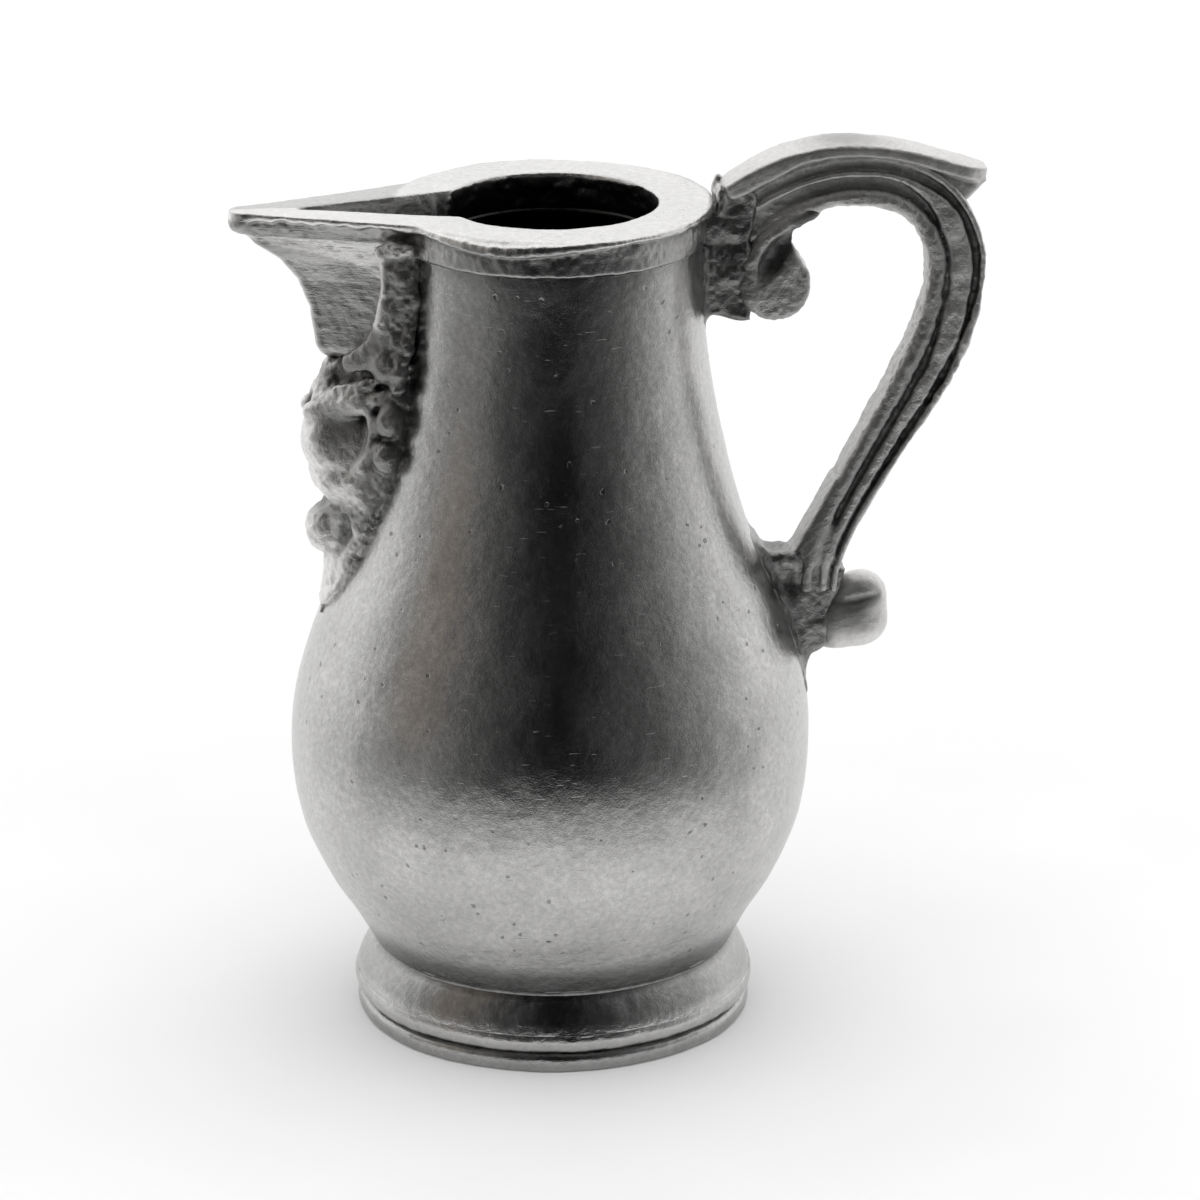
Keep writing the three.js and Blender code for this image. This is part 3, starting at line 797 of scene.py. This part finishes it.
def handle_field(v):
    """An inner bead, a rib down the middle and a flange outside, with grooves between them."""
    line = Path(v, HANDLE_LINE)
    half_depth = line.value() / 2
    s = line.place
    arch, bend, end = 20.0, 27.0, 70.0
    stages = [0, arch, bend, 36, 44, end]
    core = rounded(line.out, v.y, 0, half_depth - 0.25, 1.45, 0.4)
    bead_half = half_depth * np.interp(s, stages, [0.3, 0.32, 0.32, 0.34, 0.36, 0.38])
    bead_width = np.interp(s, [0, 5, 11], [1.6, 1.8, HANDLE_HALF_WIDTH])
    bead = rounded(line.out, v.y, bead_half - half_depth, bead_half, bead_width, bead_half * 0.98)
    rib_at = half_depth * np.interp(s, stages, [0.24, 0.24, 0.12, 0.14, 0.26, 0.28])
    rib_half = half_depth * np.interp(s, stages, [0.1, 0.1, 0.42, 0.42, 0.28, 0.28])
    rib_width = np.interp(s, [0, 5, 11, bend, end], [1.6, 1.8, 2.1, 2.35, 2.3])
    rib = rounded(line.out, v.y, rib_at, rib_half, rib_width, np.minimum(rib_half, 0.45))
    flange_width = np.interp(s, [0, arch, bend, end], [1.4, 1.7, 2.55, HANDLE_HALF_WIDTH])
    flange = rounded(line.out, v.y, half_depth - 0.36, 0.36, flange_width, 0.3)
    bar = join(core, bead, rib, flange, blend=0.35)
    bar = overlap(bar, line.ends(), blend=0.5)
    prop_corners = [(29.6, 57.8), (29.4, 53.2), (29.4, 49.5), (28.6, 48.2), (24.8, 49.6), (25.7, 50.6)]
    prop = plate(v, prop_corners, 2.15, 0.7)
    return join(bar, prop, blend=0.7)


def on_handle(x, z):
    """Each place's share of the way along the handle, and across it (0 inside, 1 outside)."""
    fine = spline(HANDLE_LINE, LINE_POINTS)
    nearest = np.concatenate([
        np.argmin((some_x[:, None] - fine[:, 0]) ** 2 + (some_z[:, None] - fine[:, 1]) ** 2, axis=1)
        for some_x, some_z in zip(np.array_split(x, 40), np.array_split(z, 40))
    ])
    along = directions(fine[:, :2])
    dx, dz = x - fine[nearest, 0], z - fine[nearest, 1]
    out = dz * along[nearest, 0] - dx * along[nearest, 1]
    return nearest / (LINE_POINTS - 1), 0.5 + out / fine[nearest, 2]


def handle_shade_and_dirt(x, y, z):
    """Painted shade with some dirt in the grooves each side of the rib, and painted shade on the leg's bead
    and where the arch meets the neck.
    """
    place, across = on_handle(x, z)
    arch = 1 - step_between(place, 0.3, 0.42)
    inner = np.exp(-(((across - 0.44 + 0.04 * (1 - arch)) / (0.07 + 0.05 * arch)) ** 4))
    outer = np.exp(-(((across - 0.82 + 0.03 * arch) / (0.06 + 0.07 * arch)) ** 4))
    root = 1 - step_between(x, 17.5, 23)
    in_groove = step_between(HANDLE_HALF_WIDTH - np.abs(y), 0, 0.2)
    bead = 0.3 * step_between(0.42 - across, 0, 0.06) * (1 - arch)
    return np.maximum.reduce([0.3 * np.maximum(inner, outer) * in_groove, bead, 0.5 * root])


def handle_roughness(x, y, z):
    """Roughest on the inner bead, round the bend and down the leg."""
    leg = (84 - z) * 0.53 + (x - 42.0) * -0.85
    inner = bell(leg, 8, 9) * (z < 88)
    return 0.08 + 0.14 * inner


def add_handle_bar(finish):
    v = Volume((15.6, -3.2, 44.2), (46, 3.2, 93.8), 0.18)
    field = cut(handle_field(v), body_field(v) + CASTING_ROOT, 0.05)
    nodes = ["handle_bar", "handle_spine"]
    add_casting("handle_casting", v, field, finish, nodes, handle_roughness, handle_shade_and_dirt)


# The thumb leaf's middle line: (x, z, thickness, half-width).
LEAF_LINE = [
    (17.9, 89.0, 1.6, 2.3), (19.6, 90.0, 2.0, 2.5), (22.0, 91.3, 2.0, 2.7),
    (25.5, 92.8, 1.6, 2.75), (30.5, 93.45, 1.4, 2.8), (36, 92.9, 1.4, 2.8),
    (41, 91.4, 1.5, 2.75), (45.2, 90.1, 1.6, 2.4),
]


def add_thumb_leaf(finish):
    """A crowned strap over the arch, round at its tip, with a web under the tip and two small chips."""
    v = Volume((16.4, -3.4, 85.4), (46.4, 3.4, 94.6), 0.16)
    line = Path(v, LEAF_LINE)
    thickness, half_width = line.value(0), line.value(1)
    to_tip = np.clip((line.total - line.place) / 2.6, 0, 1)
    round_width = half_width * np.sqrt(1 - (1 - to_tip) ** 2 * 0.75)
    crown = 0.22 * (1 - (v.y / 2.8) ** 2)
    top = line.out - crown - thickness / 2 + 0.1
    leaf = overlap(top, -line.out - thickness / 2, np.abs(v.y) - round_width, line.ends(), blend=0.5)
    web_corners = [(45.2, 89.6), (40.0, 91.0), (39.0, 90.8), (41.4, 88.4), (42.7, 87.2), (43.7, 87.9)]
    web = plate(v, web_corners, 1.7, 0.9)
    leaf = join(leaf, web)
    for x in (33.0, 34.6):
        leaf = cut(leaf, egg(v, (x, 2.9, 94.2), (0.7, 0.5, 0.5)), 0.15)
    leaf = cut(leaf, body_field(v) + 0.5, 0.05)
    add_casting("thumb_leaf_casting", v, leaf, finish, ["thumb_leaf"], 0.07)


def solder_skirt(v, web):
    """Runs the foot of a joint out over the body in a fillet."""
    flowed = join(web, body_field(v) + 0.1, blend=1.6)
    return overlap(flowed, web - 1.7, blend=0.4)


def solder_painted_shade(x, y, z):
    """Painted shade all over, but for its top, which is left bright as lit from above."""
    return 0.5 * step_between(88.6 - z, 0, 1)


def add_upper_joint(finish):
    """The rough web of metal that holds the handle to the neck."""
    v = Volume((13.4, -3.9, 73.6), (22.6, 3.9, 92.4), 0.16)
    outline = [
        (13, 75.9), (16.6, 76.2), (18.6, 75.7), (20.6, 75.4), (20.9, 80), (20.6, 84.4),
        (21.2, 88.6), (19.6, 90.0), (18.2, 89.7), (17.4, 89.6), (16.9, 88.9), (16.9, 87.6), (13, 87.6),
    ]
    web = plate(v, outline, 2.2, 0.8)
    half = half_of(v)
    ridge = rods(half, [(17.4, -2.1, 87.6, 0.4), (17.4, -2.0, 89.0, 0.4), (17.5, -1.5, 90.0, 0.3)], 0.4)
    web = join(web, ridge, blend=0.6)
    web = join(web, overlap(solder_skirt(v, web), v.z - 83.6, blend=0.5), blend=0.4)
    web = cut(web, body_field(v) + 0.7, 0.05)
    add_casting("upper_solder", v, web, finish, ["handle_boss_upper"], 0.2, solder_painted_shade)


VOLUTE = (23.1, 79.2)  # (x, z)
VOLUTE_RADIUS = 3.75


def pocket_painted_shade(x, y, z):
    """Painted shade in the pocket beside the bead and where the curl leaves the handle."""
    slope = (z - VOLUTE[1]) - 1.45 * (x - 21.6)
    pocket = 0.8 * bell(slope, 0, 2.2) * step_between(z, VOLUTE[1], VOLUTE[1] + 2)
    return np.maximum(pocket, 0.35 * step_between(21.2 - x, 0, 1.6))


def add_upper_volute(finish):
    """The rolled end under the arch: a drum on a stem, with a bead round a pocket."""
    v = Volume((17.8, -3.2, 74.8), (29.6, 3.2, 88.8), 0.15)
    half = half_of(v)
    away = np.hypot(v.x - VOLUTE[0], v.z - VOLUTE[1])
    drum = overlap(away - VOLUTE_RADIUS, np.abs(v.y) - 2.5, blend=0.9)
    stem_corners = [
        (28.4, 87.4), (26.3, 86.2), (25.0, 84.9), (24.8, 83.6), (25.6, 82.0), (23, 80.5),
        (20, 79.5), (19.4, 81.3), (21.0, 84.2), (24, 86.8),
    ]
    stem = plate(v, stem_corners, 2.0, 0.6)
    volute = join(drum, stem, blend=0.6)
    bead_route = [
        (27.0, -1.65, 86.9, 0.75), (24.2, -1.65, 85.6, 0.75), (21.9, -1.65, 83.9, 0.75),
        (20.3, -1.7, 81.7, 0.75), (19.8, -1.7, 79.6, 0.7),
    ]
    volute = join(volute, rods(half, bead_route), blend=0.3)
    pocket_route = [
        (24.9, -2.4, 85.0, 0.55), (23.6, -2.3, 83.4, 0.95), (22.5, -2.4, 81.7, 1.0),
        (21.6, -2.6, 79.9, 0.6),
    ]
    volute = cut(volute, rods(half, pocket_route, 0.5), 0.4)
    volute = cut(volute, body_field(v) + CASTING_ROOT, 0.05)
    add_casting("upper_volute_casting", v, volute, finish, ["handle_volute_upper"], 0.14,
                pocket_painted_shade)


def add_lower_joint(finish):
    """The rough web of metal that holds the handle to the belly."""
    v = Volume((19.4, -4.1, 33.6), (31.6, 4.1, 54), 0.16)
    outline = [
        (18, 52.0), (21.3, 51.1), (22.7, 49.8), (24.2, 49.6), (25.9, 50.4), (28.6, 49.4),
        (31.0, 47.8), (30.4, 45.6), (29.2, 43.2), (29.3, 39.6), (27.9, 38.6), (26.9, 38.0),
        (26.0, 36.2), (18, 36.2),
    ]
    web = plate(v, outline, 2.1, 0.8)
    half = half_of(v)
    ledge = rods(half, [(22.7, -1.7, 49.4, 0.5), (24.2, -1.9, 49.4, 0.6), (25.6, -1.8, 48.9, 0.45)], 0.3)
    tail = rods(half, [(25.2, -1.6, 44.6, 0.5), (26.6, -1.7, 41.5, 0.55), (26.4, -1.3, 38.6, 0.5)], 0.3)
    hollow = egg(half, (24.4, -2.6, 46.6), (1.5, 0.9, 1.5))
    web = cut(web, hollow, 0.8)
    web = join(web, ledge, tail, blend=0.7)
    web = solder_skirt(v, web)
    web = cut(web, body_field(v) + 0.7, 0.05)
    add_casting("lower_solder", v, web, finish, ["handle_bracket_lower"], 0.14, 0.5)


def crease_painted_shade(x, y, z):
    """Painted shade in the crease between curl and bulb, and toward the joint."""
    slope = z - 44.1 - 0.17 * (x - 30)
    line = 0.5 * bell(slope, 0, 0.6) * (1 - step_between(x, 33, 35))
    return np.maximum(line, 0.45 * (1 - step_between(x, 28.6, 30.6)))


def add_lower_volute(finish):
    """The rolled lower end: a curl over a bulb, with a crease between them."""
    v = Volume((26.8, -3.2, 37.6), (36.8, 3.2, 48.8), 0.14)
    half = half_of(v)
    bulb = egg(v, (32.1, 0, 41.75), (3.6, 2.75, 3.0), 0.15)
    curl = egg(v, (32.6, 0, 44.5), (2.95, 2.4, 2.6), -0.1)
    volute = join(bulb, curl, blend=1.6)
    root = egg(v, (29.8, 0, 41.4), (2.4, 2.2, 2.8))
    volute = join(volute, root, blend=1.2)
    crease_route = [(29.0, -2.4, 44.0, 0.6), (31.6, -2.7, 44.4, 0.4), (34.4, -2.2, 44.9, 0.2)]
    volute = cut(volute, rods(half, crease_route), 0.7)
    add_casting("lower_volute_casting", v, volute, finish, ["handle_volute_lower"], 0.05,
                crease_painted_shade)


# ---- Materials ----


class Nodes:
    """A short way to add and link material nodes."""

    def __init__(self, name):
        self.material = bpy.data.materials.new(name)
        self.material.use_nodes = True
        self.tree = self.material.node_tree
        self.shader = self.tree.nodes["Principled BSDF"]
        place = self.add("ShaderNodeTexCoord")
        in_mm = self.add("ShaderNodeMapping")
        in_mm.inputs["Scale"].default_value = (1000, 1000, 1000)
        self.link(place.outputs["Object"], in_mm.inputs["Vector"])
        self.place = in_mm.outputs[0]

    def add(self, kind, **settings):
        node = self.tree.nodes.new(kind)
        for key, value in settings.items():
            setattr(node, key, value)
        return node

    def link(self, source, target):
        self.tree.links.new(source, target)

    def noise(self, scale, detail=3.0, stretch=None, distortion=0.0):
        """Noise with `scale` features to a millimetre."""
        node = self.add("ShaderNodeTexNoise")
        node.inputs["Scale"].default_value = scale
        node.inputs["Detail"].default_value = detail
        node.inputs["Distortion"].default_value = distortion
        place = self.place
        if stretch:
            mapping = self.add("ShaderNodeMapping")
            mapping.inputs["Scale"].default_value = stretch[:3]
            mapping.inputs["Rotation"].default_value = stretch[3:]
            self.link(place, mapping.inputs["Vector"])
            place = mapping.outputs[0]
        self.link(place, node.inputs["Vector"])
        return node.outputs["Fac"]

    def ramp(self, source, *stops):
        """Turns a number into a grey: stops are (place, value)."""
        node = self.add("ShaderNodeValToRGB")
        ramp = node.color_ramp
        while len(ramp.elements) < len(stops):
            ramp.elements.new(0.5)
        for element, (place, value) in zip(ramp.elements, stops):
            element.position = place
            element.color = (value, value, value, 1)
        self.link(source, node.inputs["Fac"])
        return node.outputs["Color"]

    def mark(self, name):
        """A number that each vertex carries."""
        return self.add("ShaderNodeAttribute", attribute_name=name).outputs["Fac"]

    def mix(self, kind, a, b):
        """Blends a with b, which may be a fixed colour."""
        node = self.add("ShaderNodeMix", data_type="RGBA", blend_type=kind)
        node.inputs["Factor"].default_value = 1
        self.link(a, node.inputs["A"])
        if isinstance(b, tuple):
            node.inputs["B"].default_value = b
        else:
            self.link(b, node.inputs["B"])
        return node.outputs["Result"]

    def sum(self, *terms):
        """Adds (source, weight) terms."""
        total = None
        for source, weight in terms:
            node = self.add("ShaderNodeMath", operation="MULTIPLY_ADD")
            self.link(source, node.inputs[0])
            node.inputs[1].default_value = weight
            node.inputs[2].default_value = 0
            if total:
                self.link(total, node.inputs[2])
            total = node.outputs[0]
        return total


WARM_GREY = (1.0, 0.992, 0.98, 1.0)
SKIN_DEPTH = 0.15  # millimetres
# How dark the painted shade and dirt can make a surface.
PAINTED_SHADE_AND_DIRT_TONE = 0.08


def metal(name, tone, spread, roughness, bump, hollow_shade=0.35, dull_spread=0.08, file_marks=False, scars=False):
    """Cast silvered metal: patchy tone, bright worn edges, painted shade in hollows and creases, and a
    mottled skin.

    The tone is its middle brightness and spread how far patches stray from it; bump is the skin's strength.
    """
    n = Nodes(name)
    patches = n.noise(0.16, 4, distortion=0.6)
    mottle = n.noise(1.6, 4)
    grain = n.noise(6, 2)
    tones = n.sum((patches, 0.3), (mottle, 0.4), (grain, 0.3))
    base = n.ramp(tones, (0.32, tone - spread), (0.52, tone), (0.68, min(tone + spread, 0.97)))
    # Painted shade in creases: concave places, by their pointiness, are darkened.
    point = n.add("ShaderNodeNewGeometry").outputs["Pointiness"]
    base = n.mix("MULTIPLY", base, n.ramp(point, (0.44, 1 - hollow_shade), (0.5, 0.95), (0.54, 1.0)))
    base = n.mix("SCREEN", base, n.ramp(n.mark("edge"), (0.4, 0.0), (0.95, 0.25)))
    # Painted shade in hollows, from each vertex's hollow mark.
    base = n.mix("MULTIPLY", base, n.ramp(n.mark("hollow"), (0.08, 1.0), (0.7, 1 - 1.6 * hollow_shade)))
    # Painted shade, with some dirt, from each piece's own mark.
    base = n.mix("MULTIPLY", base, n.ramp(n.mark("painted_shade_and_dirt"), (0.0, 1.0), (1.0, PAINTED_SHADE_AND_DIRT_TONE)))
    heights = [(mottle, 0.7), (grain, 0.5), (n.noise(0.45, 2), 0.8)]
    if file_marks:
        heights.append((n.noise(1.0, 3, (0.3, 1.2, 3.0, 0, 0.2, 0), 0.6), 0.8))
    if scars:
        pits, scratches = pit_marks(n), scratch_marks(n)
        heights += [(pits, -2.5), (scratches, -1.0)]
        base = n.mix("MULTIPLY", base, n.ramp(pits, (0.2, 1.0), (0.9, 0.55)))
    n.link(n.mix("MULTIPLY", base, WARM_GREY), n.shader.inputs["Base Color"])
    n.shader.inputs["Metallic"].default_value = 1.0
    dull = n.ramp(patches, (0.3, roughness - dull_spread), (0.7, roughness + dull_spread))
    n.link(dull, n.shader.inputs["Roughness"])
    skin = n.add("ShaderNodeBump")
    skin.inputs["Strength"].default_value = bump
    skin.inputs["Distance"].default_value = SKIN_DEPTH * MM
    n.link(n.sum(*heights), skin.inputs["Height"])
    n.link(skin.outputs[0], n.shader.inputs["Normal"])
    return n.material


def pit_marks(n):
    """Small ragged pits, about two millimetres apart, in some places only."""
    spots = n.add("ShaderNodeTexVoronoi")
    spots.inputs["Scale"].default_value = 0.45
    n.link(n.place, spots.inputs["Vector"])
    ragged = n.sum((spots.outputs["Distance"], 1.0), (n.noise(2.5, 3), 0.3))
    holes = n.ramp(ragged, (0.22, 1.0), (0.27, 0.0))
    return n.mix("MULTIPLY", holes, n.ramp(n.noise(0.06, 1), (0.46, 0.0), (0.54, 1.0)))


def scratch_marks(n):
    """Short fine scratches in two directions."""
    steep = n.noise(1.0, 1, (0.4, 0.4, 5.0, 0.5, -0.6, 0.3))
    slanted = n.noise(1.0, 1, (0.4, 0.4, 6.0, 0.5, 0.7, 0.2))
    lines = n.ramp(steep, (0.77, 0.0), (0.81, 1.0))
    more = n.ramp(slanted, (0.76, 0.0), (0.8, 1.0))
    return n.mix("SCREEN", lines, more)


def floor_finish():
    """Pale paper with a faint unevenness."""
    n = Nodes("pale_paper")
    shade = n.ramp(n.noise(0.02, 2), (0.35, 0.9), (0.65, 0.93))
    n.link(shade, n.shader.inputs["Base Color"])
    n.shader.inputs["Roughness"].default_value = 0.9
    return n.material


# ---- Camera and studio ----

# The camera's place round the jug, in millimetres and radians.
CAMERA_DISTANCE = 588.0
CAMERA_HEIGHT = 248.4
CAMERA_TURN = math.radians(-6)
CAMERA_PITCH = math.radians(19.08)
CAMERA_YAW = math.radians(0.49)
FOCAL_SHARE = 4.9266  # focal length over the frame's width


def add_camera():
    data = bpy.data.cameras.new("camera")
    data.sensor_width = 36
    data.lens = data.sensor_width * FOCAL_SHARE
    data.clip_start = 0.01
    data.clip_end = 20
    camera = bpy.data.objects.new("camera", data)
    bpy.context.scene.collection.objects.link(camera)
    reach = CAMERA_DISTANCE * MM
    camera.location = (
        AXIS_X * MM + reach * math.sin(CAMERA_TURN),
        -reach * math.cos(CAMERA_TURN),
        CAMERA_HEIGHT * MM,
    )
    camera.rotation_euler = (math.pi / 2 - CAMERA_PITCH, 0, CAMERA_TURN - CAMERA_YAW)
    bpy.context.scene.camera = camera


def add_floor():
    bpy.ops.mesh.primitive_plane_add(size=6)
    floor = bpy.context.object
    floor.name = "floor"
    floor.data.materials.append(floor_finish())


# The hanging's brightness by degrees round from the camera; past both ends it is as bright as the room.
HANGING = [
    (-112, 1.0), (-98, 0.85), (-86, 0.4), (-68, 0.31), (-52, 0.26), (-40, 0.11),
    (-24, 0.06), (-12, 0.02), (10, 0.0), (24, 0.04), (38, 0.07), (52, 0.13), (67, 0.27),
    (82, 0.5), (97, 0.8), (112, 1.0),
]
HANGING_HEIGHT = 5.5  # metres
HANGING_REACH = 1.2
HANGING_TURN = 112  # degrees each way from the camera
TABLE_START = 0.06
WARM_STRIP = 0.55
WARM_LIGHT = (1.0, 0.74, 0.5, 1)
WORLD_STRENGTH = 1.15


def room_tone(turn, share, reach):
    """The studio's brightness, by degrees round from the camera, height and floor distance."""
    side = np.interp(turn, *zip(*HANGING))
    near = step_between(reach, 0.072, 0.1) * 0.6 + step_between(reach, 0.1, 0.2) * 0.4
    shade = (1 - side) * near * (1 - step_between(share, 0.8, 1.0))
    return 1 - shade


def warm_strip(turn, share):
    """How warm the hanging is: one upright strip of it left of the camera."""
    return WARM_STRIP * step_between(turn, -80, -70) * step_between(-turn, 50, 60) * (share > 0)


def add_dark_side():
    """A dark hanging and table in front of the jug, seen only in its reflections."""
    turns = np.linspace(-HANGING_TURN, HANGING_TURN, 113)
    rows = [(reach, 0.0) for reach in np.linspace(TABLE_START, HANGING_REACH, 40)]
    rows += [(HANGING_REACH, share) for share in np.linspace(0, 1, 25)[1:]]
    places, tones, warmths = [], [], []
    for reach, share in rows:
        for turn in turns:
            angle = math.radians(turn - 90) + CAMERA_TURN
            height = 0.001 + HANGING_HEIGHT * share
            places.append((AXIS_X * MM + reach * math.cos(angle), reach * math.sin(angle), height))
            tones.append(room_tone(turn, share, reach))
            warmths.append(warm_strip(turn, share))
    wide = len(turns)
    faces = [
        (r * wide + c, r * wide + c + 1, (r + 1) * wide + c + 1, (r + 1) * wide + c)
        for r in range(len(rows) - 1)
        for c in range(wide - 1)
    ]
    card = new_object("dark_side", places, faces)
    mark_vertices(card.data, {"tone": tones, "warm": warmths})
    made = bpy.data.materials.new("dark_side")
    made.use_nodes = True
    tree = made.node_tree
    tree.nodes.clear()
    tint = tree.nodes.new("ShaderNodeMix")
    tint.data_type = "RGBA"
    tint.blend_type = "MULTIPLY"
    tint.inputs["B"].default_value = WARM_LIGHT
    for label, socket in (("tone", "A"), ("warm", "Factor")):
        reader = tree.nodes.new("ShaderNodeAttribute")
        reader.attribute_name = label
        tree.links.new(reader.outputs["Fac"], tint.inputs[socket])
    glow = tree.nodes.new("ShaderNodeEmission")
    out = tree.nodes.new("ShaderNodeOutputMaterial")
    tree.links.new(tint.outputs["Result"], glow.inputs["Color"])
    tree.links.new(glow.outputs[0], out.inputs[0])
    card.data.materials.append(made)
    card.visible_camera = False
    card.visible_diffuse = False
    card.visible_shadow = False


def add_world():
    world = bpy.data.worlds.new("studio")
    bpy.context.scene.world = world
    world.use_nodes = True
    background = world.node_tree.nodes["Background"]
    background.inputs["Color"].default_value = (1, 1, 1, 1)
    background.inputs["Strength"].default_value = WORLD_STRENGTH


# ---- The whole jug ----

body_finish = metal("body_silver", 0.54, 0.16, 0.24, 0.3, 0.3, dull_spread=0.04, scars=True)
rim_finish = metal("rim_silver", 0.8, 0.14, 0.28, 0.4, dull_spread=0.04)
spout_finish = metal("spout_silver", 0.84, 0.12, 0.3, 0.5, dull_spread=0.04, file_marks=True)
drop_finish = metal("drop_silver", 0.86, 0.12, 0.42, 0.9, 0.5)
handle_finish = metal("handle_silver", 0.78, 0.18, 0.5, 1.0, 0.3)
volute_finish = metal("volute_silver", 0.84, 0.12, 0.55, 0.6, 0.3)
solder_finish = metal("solder_silver", 0.6, 0.2, 0.36, 0.8)
foot_finish = metal("foot_silver", 0.52, 0.12, 0.2, 0.4, 0.4, dull_spread=0.03)

add_body(body_finish)
add_foot(foot_finish)
add_rim_and_spout(rim_finish, spout_finish)
add_seam_strap("seam_solder_front", "spout_strap_front", False, drop_finish)
add_seam_strap("seam_solder_back", "spout_strap_back", True, drop_finish)
add_drop(drop_finish)
add_handle_bar(handle_finish)
add_thumb_leaf(volute_finish)
add_upper_joint(solder_finish)
add_upper_volute(handle_finish)
add_lower_joint(solder_finish)
add_lower_volute(volute_finish)

add_camera()
add_floor()
add_dark_side()
add_world()
bpy.context.scene.view_settings.view_transform = "Standard"
